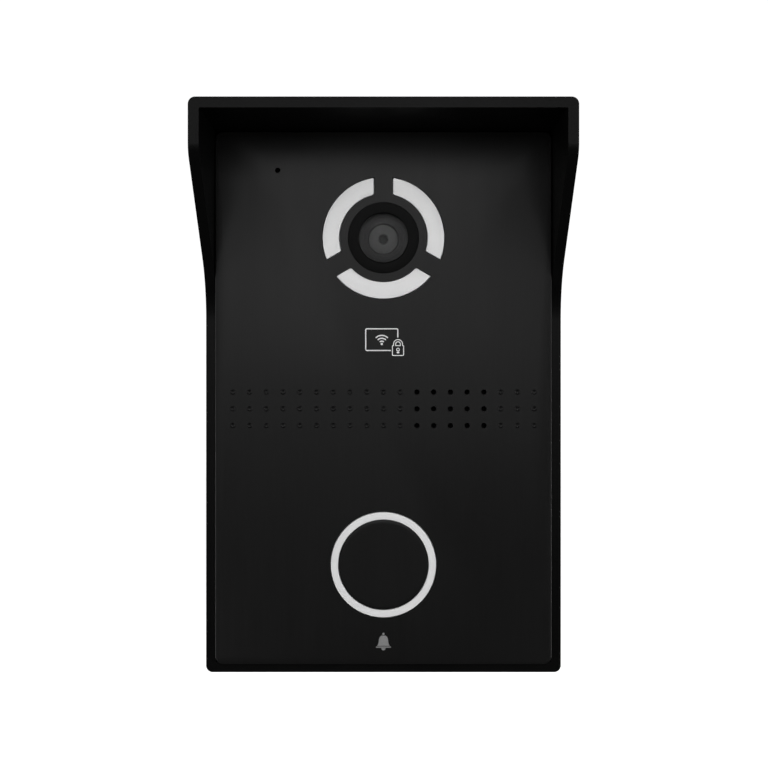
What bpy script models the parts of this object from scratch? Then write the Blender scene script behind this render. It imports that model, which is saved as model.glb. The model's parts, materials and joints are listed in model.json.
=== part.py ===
"""A surface-mounted video door station: a metal front plate with a camera, a ring of white light
windows, a speaker grille and one ring-lit call button, standing in a wall housing with a rain hood.

Frame: metres, +Z up, the front faces -Y, and the origin is the centre of the housing's back, on the
wall. A depth in this file is the distance out from the wall, so a point at depth d lies at y = -d.
"""

import math

import bmesh
import bpy
from mathutils import Matrix, Vector

MM = 0.001
TOUCH = 0.3 * MM  # gap kept between pieces that rest on each other
RUN = 0.15 * MM  # side gap round a piece that slides or drops in
ROUND = 32  # facets of the large round pieces in the front

# Front plate: a cast metal tray, face outwards.
PLATE_W = 100.5 * MM
PLATE_H = 159.0 * MM
PLATE_CORNER = 2.5 * MM
PLATE_RIM_DEPTH = 5.0 * MM
PLATE_FACE = 3.0 * MM  # thickness of the face inside the rim
PLATE_CHAMFER = 0.3 * MM

# Wall housing and its rain hood.
WALL = 3.0 * MM
PLATE_FIT = 0.25 * MM  # gap all round between plate and housing
HOUSING_DEPTH = 50.0 * MM
HOUSING_CORNER = 2.0 * MM
BACK_PLATE = 2.5 * MM
HOOD_REACH = 34.0 * MM  # how far the hood stands out past the housing's front rim
HOOD_LIP = 15.0 * MM  # height of the hood's upright front edge, before the cheeks slope back
HOOD_LIP_FILLET = 6.0 * MM
HOOD_FOOT_FILLET = 25.0 * MM
PLATE_PROUD = 3.5 * MM  # how far the plate's face stands out of the rim
LEDGE = 2.0 * MM  # thickness of the inward flange that the plate sits on
LEDGE_DROP = 1.2 * MM  # from the plate's back to the flange

# Rear case of the electronics, hanging behind the plate.
CASE_LIP_X = 3.25 * MM  # how far the plate overhangs the case
CASE_LIP_Z = 4.0 * MM
CASE_WALL = 2.0 * MM
CASE_CORNER = 3.0 * MM
CASE_TO_BACK = 3.0 * MM  # free space behind the case, for wall screw heads
GASKET = 0.9 * MM
COLUMN_R = 4.2 * MM
COLUMN_INSET = 5.5 * MM

# Features of the plate, from its edges or from its middle.
CAMERA_DOWN = 31.65 * MM  # from the plate's top edge
BUTTON_UP = 29.65 * MM  # from the plate's bottom edge
MIC_DOWN = 11.5 * MM
MIC_IN = 18.65 * MM  # from the plate's left edge
GRILLE_Z = -3.25 * MM
GRILLE_PITCH = 5.0 * MM
GRILLE_ROWS = 3
GRILLE_HOLE_R = 0.8 * MM
GRILLE_MARGIN = 5.0 * MM  # least distance from the plate's edge to a column of the grille
DIMPLE_DEPTH = 0.5 * MM
SPEAKER_COLUMN = 4  # the speaker sits behind this column, counted right from the middle
OPEN_COLUMNS = 2  # columns bored through on each side of the speaker's own column
MIC_HOLE_R = 0.8 * MM

# Camera and its three light windows.
BEZEL_HOLE_R = 7.35 * MM
BEZEL_WIDTH = 3.25 * MM
BEZEL_THICK = 1.1 * MM
WINDOW_SEAT = 1.5 * MM  # how far the bezel laps over the window and the edge of its hole
WINDOW_THICK = 0.8 * MM
LENS_CLEAR = 0.3 * MM  # from the window to the lens
LENS_HEAD_LAP = 0.45 * MM  # how far the lens head reaches past the bezel's hole
LENS_THREAD_R = 6.0 * MM
LENS_GLASS_R = 4.35 * MM
LENS_STOP_R = 1.4 * MM  # of the hole that lets the light through
LIGHT_INNER_R = 13.25 * MM
LIGHT_WIDTH = 4.9 * MM
LIGHT_GAP = 5.85 * MM  # width of the plate's bridge between two light windows
LIGHT_BASE_LIP = 1.0 * MM
LIGHT_WINDOWS = 3
CAMERA_EAR_OUT = 6.0 * MM  # from the light windows' outer edge to the camera's screws

# Call button.
CAP_R = 13.4 * MM
RING_WIDTH = 2.15 * MM
RING_FLANGE = 1.8 * MM
BUTTON_TRAVEL = 1.0 * MM  # how far the cap and the switch below it move when pressed
STEM_R = 2.0 * MM
SPRING_R = 6.2 * MM
SPRING_WIRE_R = 0.35 * MM
SPRING_TURNS = 5
HOLDER_WALL = 1.8 * MM

# Speaker and microphone.
SPEAKER_R = 14.0 * MM
SPEAKER_RIM = 2.0 * MM
MAGNET_R = 7.6 * MM
COIL_R = 3.8 * MM
CLAMP_WIDTH = 8.0 * MM
MIC_BOOT_R = 4.0 * MM
MIC_CAPSULE_R = 2.8 * MM

# Boards and what is on them.
BOARD = 1.6 * MM
ANTENNA_GAP = 1.35 * MM  # from the card reader's loop to the speaker and to the light windows
BOARD_INSET = 2.0 * MM  # from the case's inner wall to the main board's edge
BOARD_END = 9.5 * MM  # the same above and below, where the screw columns are
POST_R = 3.0 * MM
POST_IN = 5.0 * MM
POST_UP = 6.0 * MM
BAY_SIDE = 16.0 * MM  # from the case's side to the connector bay
BAY_BOTTOM = 7.5 * MM
BAY_HEIGHT = 56.0 * MM
BAY_DEPTH = 14.5 * MM
JACK = Vector((16.0, 14.0, 21.0)) * MM
TERMINAL = Vector((30.5, 9.0, 10.0)) * MM
TERMINAL_POLES = 8
CONNECTOR_MARGIN = 4.0 * MM
CONNECTOR_FIT = 0.4 * MM  # gap round a connector that stands through the bay's floor
TAMPER_X = -30.0 * MM
TAMPER_Z = 30.0 * MM
TAMPER_R = 2.0 * MM
TAMPER_PAD = 1.5 * MM
TAMPER_TRAVEL = 1.2 * MM

# Openings and screws of the housing.
CABLE_W = 56.0 * MM
CABLE_H = 40.0 * MM
CABLE_Z = -36.0 * MM
SLOT_R = 2.3 * MM
SLOT_LENGTH = 9.0 * MM
SLOT_X = 35.0 * MM
SLOT_TOP = 20.75 * MM  # from the housing's top to the upper slots
SLOT_BOTTOM = 9.75 * MM
LOCK_X = 30.0 * MM
LOCK_DEPTH = 40.0 * MM
LOCK_R = 1.9 * MM
LOCK_HEAD_R = 4.0 * MM
LOCK_HEAD = 2.2 * MM
LOCK_SOCKET_R = 1.3 * MM

# Screws, their bosses and their holes.
PILOT_R = 1.4 * MM  # hole for one of the small screws
SMALL_SCREW = (2.4 * MM, 1.1 * MM)  # radii of the head and the shank
SMALL_HEAD = 1.7 * MM
CAMERA_BOSS_R = 3.0 * MM
BUTTON_BOSS_R = 3.2 * MM
CASE_BOSS_R = 3.5 * MM
CASE_SCREW = (2.8 * MM, 1.5 * MM)
CASE_HEAD = 2.5 * MM
CASE_PILOT_R = 1.8 * MM
CASE_WELL_R = 3.1 * MM  # of the well that a case screw's head sinks in
PILOT_END = 1.2 * MM  # metal left between the end of a screw hole and the plate's face

# Sizes and depths that follow from the ones above.
OPENING_W = PLATE_W + 2 * PLATE_FIT
OPENING_H = PLATE_H + 2 * PLATE_FIT
HOUSING_W = OPENING_W + 2 * WALL
HOUSING_H = OPENING_H + 2 * WALL
PLATE_FRONT = HOUSING_DEPTH + PLATE_PROUD
PLATE_BACK = PLATE_FRONT - PLATE_RIM_DEPTH
FACE_BACK = PLATE_FRONT - PLATE_FACE
BEHIND_FACE = FACE_BACK - TOUCH
LEDGE_FRONT = PLATE_BACK - LEDGE_DROP
LEDGE_BACK = LEDGE_FRONT - LEDGE
CASE_W = PLATE_W - 2 * CASE_LIP_X
CASE_H = PLATE_H - 2 * CASE_LIP_Z
CASE_FRONT = PLATE_BACK - GASKET - 2 * TOUCH
CASE_BACK = BACK_PLATE + CASE_TO_BACK
CASE_FLOOR = CASE_BACK + CASE_WALL
COLUMN_X = CASE_W / 2 - COLUMN_INSET
COLUMN_Z = CASE_H / 2 - COLUMN_INSET
BEZEL_R = BEZEL_HOLE_R + BEZEL_WIDTH
WINDOW_R = BEZEL_R - WINDOW_SEAT
LENS_HEAD_R = BEZEL_HOLE_R + LENS_HEAD_LAP
LIGHT_OUTER_R = LIGHT_INNER_R + LIGHT_WIDTH
CAMERA_EAR = LIGHT_OUTER_R + CAMERA_EAR_OUT
RING_INNER_R = CAP_R + RUN
RING_OUTER_R = RING_INNER_R + RING_WIDTH
CONE_R = SPEAKER_R - SPEAKER_RIM
CAMERA_Z = PLATE_H / 2 - CAMERA_DOWN
BUTTON_Z = BUTTON_UP - PLATE_H / 2
MIC_X = MIC_IN - PLATE_W / 2
MIC_Z = PLATE_H / 2 - MIC_DOWN
SPEAKER_X = SPEAKER_COLUMN * GRILLE_PITCH
BAY_W = CASE_W - 2 * BAY_SIDE
BAY_LOW = BAY_BOTTOM - CASE_H / 2
BAY_TOP = BAY_LOW + BAY_HEIGHT
BAY_FLOOR = CASE_BACK + BAY_DEPTH
BOARD_BACK = BAY_FLOOR + CASE_WALL + 2 * MM
BOARD_FRONT = BOARD_BACK + BOARD
BOARD_W = CASE_W - 2 * (CASE_WALL + BOARD_INSET)
BOARD_H = CASE_H - 2 * (CASE_WALL + BOARD_END)
POST_X = BOARD_W / 2 - POST_IN
POST_Z = BOARD_H / 2 - POST_UP
JACK_X = CONNECTOR_MARGIN + JACK.x / 2 - BAY_W / 2
TERMINAL_X = BAY_W / 2 - CONNECTOR_MARGIN - TERMINAL.x / 2
CONNECTOR_TOP = BAY_TOP - 0.5 * MM
FOUR_CORNERS = [(sx, sz) for sz in (1, -1) for sx in (-1, 1)]


# ---- Materials ----------------------------------------------------------------------------------

def make_material(name, colour, roughness, metallic=0.0):
    material = bpy.data.materials.new(name)
    material.use_nodes = True
    shader = material.node_tree.nodes["Principled BSDF"]
    shader.inputs["Base Color"].default_value = (*colour, 1.0)
    shader.inputs["Roughness"].default_value = roughness
    shader.inputs["Metallic"].default_value = metallic
    return material


# ---- Shapes, each a bmesh whose Y is minus the depth --------------------------------------------

def rounded_outline(width, height, corner, steps=3):
    """Corner points of a rectangle in (x, z), anticlockwise, with round corners."""
    if not corner:
        return [(width / 2, -height / 2), (width / 2, height / 2),
                (-width / 2, height / 2), (-width / 2, -height / 2)]
    points = []
    for turn, (sx, sz) in enumerate([(1, 1), (-1, 1), (-1, -1), (1, -1)]):
        for step in range(steps + 1):
            angle = math.radians(90) * (turn + step / steps)
            points.append((sx * (width / 2 - corner) + corner * math.cos(angle),
                           sz * (height / 2 - corner) + corner * math.sin(angle)))
    return points


def prism(points, front, back):
    """The outline in (x, z), extruded from depth back to depth front."""
    shape = bmesh.new()
    face = shape.faces.new([shape.verts.new((x, -front, z)) for x, z in points])
    made = bmesh.ops.extrude_face_region(shape, geom=[face])
    moved = [item for item in made["geom"] if isinstance(item, bmesh.types.BMVert)]
    bmesh.ops.translate(shape, verts=moved, vec=(0, front - back, 0))
    bmesh.ops.recalc_face_normals(shape, faces=shape.faces)
    return shape


def slab(width, height, front, back, corner=0.0, at=(0, 0)):
    """A rectangular plate or block, facing forwards, centred on (x, z)."""
    shape = prism(rounded_outline(width, height, corner), front, back)
    return moved_by(shape, (at[0], 0, at[1]))


def rod(radius, front, back, at=(0, 0), sides=20):
    return turned([(0, front), (radius, front), (radius, back), (0, back)], at, sides)


def turned(profile, at=(0, 0), sides=24):
    """A profile of (radius, depth) points turned about the line through (x, z) along Y.
    It starts and ends on the axis, or else is a closed loop."""
    shape = bmesh.new()
    verts = [shape.verts.new((radius, -depth, 0)) for radius, depth in profile]
    edges = [shape.edges.new(pair) for pair in zip(verts, verts[1:])]
    if profile[0][0] > 0:
        edges.append(shape.edges.new((verts[-1], verts[0])))
    bmesh.ops.spin(shape, geom=verts + edges, cent=(0, 0, 0), axis=(0, 1, 0),
                   angle=math.tau, steps=sides, use_merge=True)
    bmesh.ops.remove_doubles(shape, verts=shape.verts, dist=1e-7)
    bmesh.ops.recalc_face_normals(shape, faces=shape.faces)
    return moved_by(shape, (at[0], 0, at[1]))


def moved_by(shape, offset):
    bmesh.ops.translate(shape, verts=shape.verts, vec=offset)
    return shape


def block(x_range, depth_range, z_range):
    """A plain box between two x, two depths and two z."""
    centre = ((x_range[0] + x_range[1]) / 2, (z_range[0] + z_range[1]) / 2)
    width, height = x_range[1] - x_range[0], z_range[1] - z_range[0]
    return slab(width, height, max(depth_range), min(depth_range), at=centre)


def upright(shape, depth, x, z):
    """Turns a shape made along Y so that its depth runs up Z instead, and puts it in place."""
    shape.transform(Matrix.Rotation(math.radians(-90), 4, "X"))
    return moved_by(shape, (x, -depth, z))


def arc_outline(inner, outer, half_gap, middle, steps=8):
    """A ring's segment in (x, z), centred on an angle, whose ends are parallel to the bridges."""
    half_pitch = math.pi / LIGHT_WINDOWS

    def arc(radius):
        reach = half_pitch - math.asin(half_gap / radius)
        angles = [middle + reach * (2 * i / steps - 1) for i in range(steps + 1)]
        return [(radius * math.cos(a), radius * math.sin(a)) for a in angles]

    return arc(outer) + arc(inner)[::-1]


# ---- Objects ------------------------------------------------------------------------------------

def to_mesh(name, shapes):
    """One mesh of several bmeshes, which are freed."""
    whole = bmesh.new()
    for shape in shapes:
        part = bpy.data.meshes.new("part")
        shape.to_mesh(part)
        shape.free()
        whole.from_mesh(part)
        bpy.data.meshes.remove(part)
    mesh = bpy.data.meshes.new(name)
    whole.to_mesh(mesh)
    whole.free()
    return mesh


def add_part(name, shape, material, at=(0, 0)):
    """A named object at (x, z), so that its origin is on its own axis."""
    mesh = to_mesh(name, [shape])
    mesh.shade_smooth()
    mesh.set_sharp_from_angle(angle=math.radians(35))
    mesh.materials.append(material)
    obj = bpy.data.objects.new(name, mesh)
    obj.location = (at[0], 0, at[1])
    bpy.context.scene.collection.objects.link(obj)
    return obj


def boolean(obj, operation, *shapes):
    """Joins shapes to obj or cuts them from it. The shapes don't meet each other."""
    number = len(obj.modifiers) + 1
    name = f"{obj.name}_{operation.lower()}_{number}"
    helper = bpy.data.objects.new(name, to_mesh(name, shapes))
    helper.location = obj.location
    helper.hide_render = True
    helper.display_type = "WIRE"
    bpy.context.scene.collection.objects.link(helper)
    modifier = obj.modifiers.new(name, "BOOLEAN")
    modifier.operation = operation
    modifier.solver = "EXACT"
    modifier.object = helper
    return obj


# ---- The housing --------------------------------------------------------------------------------

def fillet(corner, before, after, radius, steps):
    """Points of a round between two straight runs that meet at a corner, in (depth, z)."""
    corner, before, after = Vector(corner), Vector(before), Vector(after)
    towards = (before - corner).normalized(), (after - corner).normalized()
    half = towards[0].angle(towards[1]) / 2
    centre = corner + (towards[0] + towards[1]).normalized() * radius / math.sin(half)
    starts = [corner + side * radius / math.tan(half) - centre for side in towards]
    turn = starts[0].angle_signed(starts[1])
    return [tuple(centre + Matrix.Rotation(-turn * i / steps, 2) @ starts[0]) for i in range(steps + 1)]


def hood_side_outline():
    """The housing seen from its side, in (depth, z): a box whose top reaches out as a hood, with
    cheeks that slope back at 45 degrees to the rim."""
    top, bottom = HOUSING_H / 2, -HOUSING_H / 2
    front = HOUSING_DEPTH + HOOD_REACH
    lip = (front, top - HOOD_LIP)
    foot = (HOUSING_DEPTH, top - HOOD_LIP - HOOD_REACH)
    return [(0, top), (front, top),
            *fillet(lip, (front, top), foot, HOOD_LIP_FILLET, 4),
            *fillet(foot, lip, (HOUSING_DEPTH, bottom), HOOD_FOOT_FILLET, 6),
            (HOUSING_DEPTH, bottom), (0, bottom)]


def side_prism(points, width):
    """An outline in (depth, z), extruded to a width along X."""
    shape = prism([(depth, z) for depth, z in points], width / 2, -width / 2)
    shape.transform(Matrix.Rotation(math.radians(-90), 4, "Z"))
    return shape


def slot(x, z):
    shape = prism(rounded_outline(2 * SLOT_R, SLOT_LENGTH, SLOT_R * 0.999, 6), BACK_PLATE * 2, -BACK_PLATE)
    return moved_by(shape, (x, 0, z))


def countersink(x, head_r, hole_r, head, length):
    """A screw's outline from the underside upwards: a cone, then a straight shank."""
    profile = [(0, 0), (head_r, 0), (hole_r, head), (hole_r, length), (0, length)]
    return upright(turned(profile, sides=20), LOCK_DEPTH, x, -HOUSING_H / 2)


def build_housing(metal):
    reach = HOUSING_DEPTH + HOOD_REACH
    outer = side_prism(hood_side_outline(), HOUSING_W)
    housing = add_part("hood_housing", outer, metal)
    boolean(housing, "INTERSECT", slab(HOUSING_W, HOUSING_H, reach + WALL, -WALL, HOUSING_CORNER))
    case_gap = CASE_LIP_X + PLATE_FIT - 0.5 * MM
    boolean(housing, "DIFFERENCE", slab(OPENING_W, OPENING_H, reach + WALL, LEDGE_FRONT))
    boolean(housing, "DIFFERENCE", slab(OPENING_W, OPENING_H, LEDGE_BACK, BACK_PLATE))
    ledge_hole = slab(OPENING_W - 2 * case_gap, OPENING_H - 2 * CASE_LIP_Z,
                      LEDGE_FRONT + MM, LEDGE_BACK - MM, CASE_CORNER)
    boolean(housing, "DIFFERENCE", ledge_hole)
    pad = rod(TAMPER_R + 2 * MM, BACK_PLATE + TAMPER_PAD, BACK_PLATE / 2, (TAMPER_X, TAMPER_Z), 16)
    boolean(housing, "UNION", pad)
    slots = [slot(sx * SLOT_X, HOUSING_H / 2 - SLOT_TOP) for sx in (-1, 1)]
    slots += [slot(sx * SLOT_X, SLOT_BOTTOM - HOUSING_H / 2) for sx in (-1, 1)]
    cable = slab(CABLE_W, CABLE_H, BACK_PLATE * 2, -BACK_PLATE, 4 * MM, (0, CABLE_Z))
    locks = [countersink(sx * LOCK_X, LOCK_HEAD_R + TOUCH, LOCK_R + TOUCH, LOCK_HEAD, 2 * WALL)
             for sx in (-1, 1)]
    for lock in locks:
        moved_by(lock, (0, 0, -0.01 * MM))
    boolean(housing, "DIFFERENCE", cable, *slots, *locks)


def build_lock_screws(steel):
    """Two countersunk screws up through the underside, with a hexagon socket in each head."""
    length = HOUSING_H / 2 - CASE_H / 2 + CASE_WALL + 4 * MM
    for side, sx in (("left", -1), ("right", 1)):
        shape = countersink(0, LOCK_HEAD_R, LOCK_R, LOCK_HEAD, length)
        screw = add_part(f"lock_screw_{side}", shape, steel, (sx * LOCK_X, 0))
        socket = upright(rod(LOCK_SOCKET_R, 1.6 * MM, -MM, sides=6), LOCK_DEPTH, 0, -HOUSING_H / 2)
        boolean(screw, "DIFFERENCE", socket)


# ---- The front plate ----------------------------------------------------------------------------

def grille_columns():
    most = int((PLATE_W / 2 - GRILLE_MARGIN) / GRILLE_PITCH + 1e-6)
    return range(-most, most + 1)


def grille_holes():
    """The bored holes over the speaker, and the blind dimples that carry the pattern across."""
    holes = []
    for column in grille_columns():
        is_open = abs(column - SPEAKER_COLUMN) <= OPEN_COLUMNS
        depth = FACE_BACK - MM if is_open else PLATE_FRONT - DIMPLE_DEPTH
        for row in range(GRILLE_ROWS):
            z = GRILLE_Z + (row - (GRILLE_ROWS - 1) / 2) * GRILLE_PITCH
            holes.append(rod(GRILLE_HOLE_R, PLATE_FRONT + MM, depth, (column * GRILLE_PITCH, z), 6))
    return holes


def light_windows(grow, front, back):
    """The three curved windows round the camera, each side moved out by grow."""
    shapes = []
    for window in range(LIGHT_WINDOWS):
        middle = math.tau * (window / LIGHT_WINDOWS) - math.pi / 2
        outline = arc_outline(LIGHT_INNER_R - grow, LIGHT_OUTER_R + grow, LIGHT_GAP / 2 - grow, middle)
        shapes.append(moved_by(prism(outline, front, back), (0, 0, CAMERA_Z)))
    return shapes


def build_front_plate(metal):
    face = slab(PLATE_W, PLATE_H, PLATE_FRONT, PLATE_BACK, PLATE_CORNER)
    front = [e for e in face.edges if all(v.co.y < -PLATE_FRONT + 1e-6 for v in e.verts)]
    bmesh.ops.bevel(face, geom=front, offset=PLATE_CHAMFER, segments=1, affect="EDGES")
    plate = add_part("front_plate", face, metal)
    rim_x, rim_z = CASE_LIP_X + 3 * MM, CASE_LIP_Z + 2.5 * MM
    pocket = slab(PLATE_W - 2 * rim_x, PLATE_H - 2 * rim_z, FACE_BACK, PLATE_BACK - MM, 2 * MM)
    boolean(plate, "DIFFERENCE", pocket)
    root = FACE_BACK + 0.5 * MM
    bosses = [rod(CAMERA_BOSS_R, root, EAR_FRONT, (sx * CAMERA_EAR, CAMERA_Z), 16) for sx in (-1, 1)]
    bosses += [rod(BUTTON_BOSS_R, root, HOLDER_BOSS_BACK, (sx * HOLDER_EAR, BUTTON_Z), 16) for sx in (-1, 1)]
    bosses += [rod(CASE_BOSS_R, root, PLATE_BACK + 0.1 * MM, (sx * COLUMN_X, sz * COLUMN_Z), 16)
               for sx, sz in FOUR_CORNERS]
    boolean(plate, "UNION", *bosses)
    past = PLATE_FRONT + MM
    camera = turned([(0, past), (BEZEL_R + RUN, past), (BEZEL_R + RUN, BEZEL_SEAT),
                     (WINDOW_R + TOUCH, BEZEL_SEAT), (WINDOW_R + TOUCH, FACE_BACK - MM),
                     (0, FACE_BACK - MM)], (0, CAMERA_Z), ROUND)
    button = rod(RING_OUTER_R + RUN, past, FACE_BACK - MM, (0, BUTTON_Z), ROUND)
    microphone = rod(MIC_HOLE_R, past, FACE_BACK - MM, (MIC_X, MIC_Z), 12)
    end = PLATE_FRONT - PILOT_END
    pilots = [rod(PILOT_R, FACE_BACK - 0.5 * MM, EAR_FRONT - MM, (sx * CAMERA_EAR, CAMERA_Z), 10)
              for sx in (-1, 1)]
    pilots += [rod(PILOT_R, end, HOLDER_BOSS_BACK - MM, (sx * HOLDER_EAR, BUTTON_Z), 10) for sx in (-1, 1)]
    pilots += [rod(CASE_PILOT_R, end, PLATE_BACK - MM, (sx * COLUMN_X, sz * COLUMN_Z), 10)
               for sx, sz in FOUR_CORNERS]
    boolean(plate, "DIFFERENCE", camera, button, microphone, *pilots,
            *light_windows(RUN, past, FACE_BACK - MM), *grille_holes())


# ---- The rear case ------------------------------------------------------------------------------

def build_rear_case(plastic, rubber, steel):
    case = add_part("rear_case", slab(CASE_W, CASE_H, CASE_FRONT, CASE_BACK, CASE_CORNER), plastic)
    inner_w, inner_h = CASE_W - 2 * CASE_WALL, CASE_H - 2 * CASE_WALL
    boolean(case, "DIFFERENCE", slab(inner_w, inner_h, CASE_FRONT + MM, CASE_FLOOR, MM))
    side = BAY_W / 2 + CASE_WALL
    bay = block((-side, side), (CASE_BACK + 0.5 * MM, BAY_FLOOR + CASE_WALL),
                (BAY_LOW - CASE_WALL, BAY_TOP + CASE_WALL))
    columns = [rod(COLUMN_R, CASE_FRONT, CASE_BACK + MM, (sx * COLUMN_X, sz * COLUMN_Z), 16)
               for sx, sz in FOUR_CORNERS]
    posts = [rod(POST_R, BOARD_BACK - TOUCH, CASE_FLOOR - MM, (sx * POST_X, sz * POST_Z), 16)
             for sx, sz in FOUR_CORNERS]
    low = -CASE_H / 2
    lugs = [block((sx * LOCK_X - 5 * MM, sx * LOCK_X + 5 * MM), (LOCK_DEPTH - 5 * MM, LOCK_DEPTH + 5 * MM),
                  (low + MM, low + CASE_WALL + 6 * MM)) for sx in (-1, 1)]
    hook = block((-10 * MM, 10 * MM), (LEDGE_BACK - 2.5 * MM, LEDGE_BACK - 0.5 * MM),
                 (CASE_H / 2 - MM, CASE_H / 2 + 3.3 * MM))
    boolean(case, "UNION", bay, *columns, *posts, *lugs, hook)
    hollow = block((-BAY_W / 2, BAY_W / 2), (CASE_BACK - MM, BAY_FLOOR), (BAY_LOW, BAY_TOP))
    boolean(case, "DIFFERENCE", hollow)
    through = (BAY_FLOOR - MM, BAY_FLOOR + CASE_WALL + MM)
    cuts = []
    for x, size in ((JACK_X, JACK), (TERMINAL_X, TERMINAL)):
        half = size.x / 2 + CONNECTOR_FIT
        low_edge = CONNECTOR_TOP - size.z - CONNECTOR_FIT
        cuts.append(block((x - half, x + half), through, (low_edge, BAY_TOP - 0.1 * MM)))
    for sx, sz in FOUR_CORNERS:
        at = (sx * COLUMN_X, sz * COLUMN_Z)
        head = CASE_BACK + 3.5 * MM
        cuts.append(turned([(0, CASE_FRONT + MM), (CASE_PILOT_R, CASE_FRONT + MM), (CASE_PILOT_R, head),
                            (CASE_WELL_R, head), (CASE_WELL_R, CASE_BACK - MM), (0, CASE_BACK - MM)], at, 16))
        cuts.append(rod(1.5 * MM, BOARD_BACK + MM, BOARD_BACK - 10 * MM, (sx * POST_X, sz * POST_Z), 10))
    for sx in (-1, 1):
        cuts.append(upright(rod(LOCK_R + TOUCH, CASE_WALL + 8 * MM, -MM, sides=16),
                            LOCK_DEPTH, sx * LOCK_X, low))
    cuts.append(rod(TAMPER_R + 0.4 * MM, CASE_FLOOR + MM, CASE_BACK - MM, (TAMPER_X, TAMPER_Z), 16))
    boolean(case, "DIFFERENCE", *cuts)

    ring_w, ring_h = CASE_W - 0.6 * MM, CASE_H - 0.6 * MM
    band = CASE_WALL - 0.6 * MM
    gasket_front = PLATE_BACK - TOUCH
    ring = slab(ring_w, ring_h, gasket_front, gasket_front - GASKET, CASE_CORNER)
    gasket = add_part("case_gasket", ring, rubber)
    inside = slab(ring_w - 2 * band, ring_h - 2 * band, PLATE_BACK + MM, CASE_FRONT - MM, CASE_CORNER - band)
    boolean(gasket, "DIFFERENCE", inside)
    for number, (sx, sz) in enumerate(FOUR_CORNERS, 1):
        head_back = CASE_BACK + 0.7 * MM
        shape = screw(*CASE_SCREW, head_back, head_back + CASE_HEAD, PLATE_FRONT - PILOT_END - TOUCH)
        add_part(f"case_screw_{number}", shape, steel, (sx * COLUMN_X, sz * COLUMN_Z))


def screw(head_r, shank_r, head_back, head_front, tip, sides=10):
    """A pan-head screw driven forwards, with a six-sided socket in the head's back."""
    socket_r, socket = 0.45 * head_r, 0.6 * (head_front - head_back)
    return turned([(0, tip), (shank_r, tip), (shank_r, head_front), (head_r, head_front),
                   (head_r, head_back + 0.3 * (head_front - head_back)), (0.8 * head_r, head_back),
                   (socket_r, head_back), (socket_r, head_back + socket), (0, head_back + socket)],
                  sides=sides)


# ---- Camera and lights --------------------------------------------------------------------------

BEZEL_SEAT = PLATE_FRONT - BEZEL_THICK - 0.4 * MM
LENS_FRONT = BEZEL_SEAT - WINDOW_THICK - LENS_CLEAR
CAMERA_BOARD_BACK = BOARD_FRONT + 3.4 * MM
CAMERA_BOARD_FRONT = CAMERA_BOARD_BACK + BOARD
HOLDER_FRONT = FACE_BACK - 7.3 * MM
EAR_FRONT = HOLDER_FRONT + TOUCH
LIGHT_BOARD_FRONT = HOLDER_FRONT + TOUCH + 1.2 * MM
CAMERA_BOARD = 34.0 * MM
LED = Vector((3.5, 1.4, 2.8)) * MM


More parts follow.
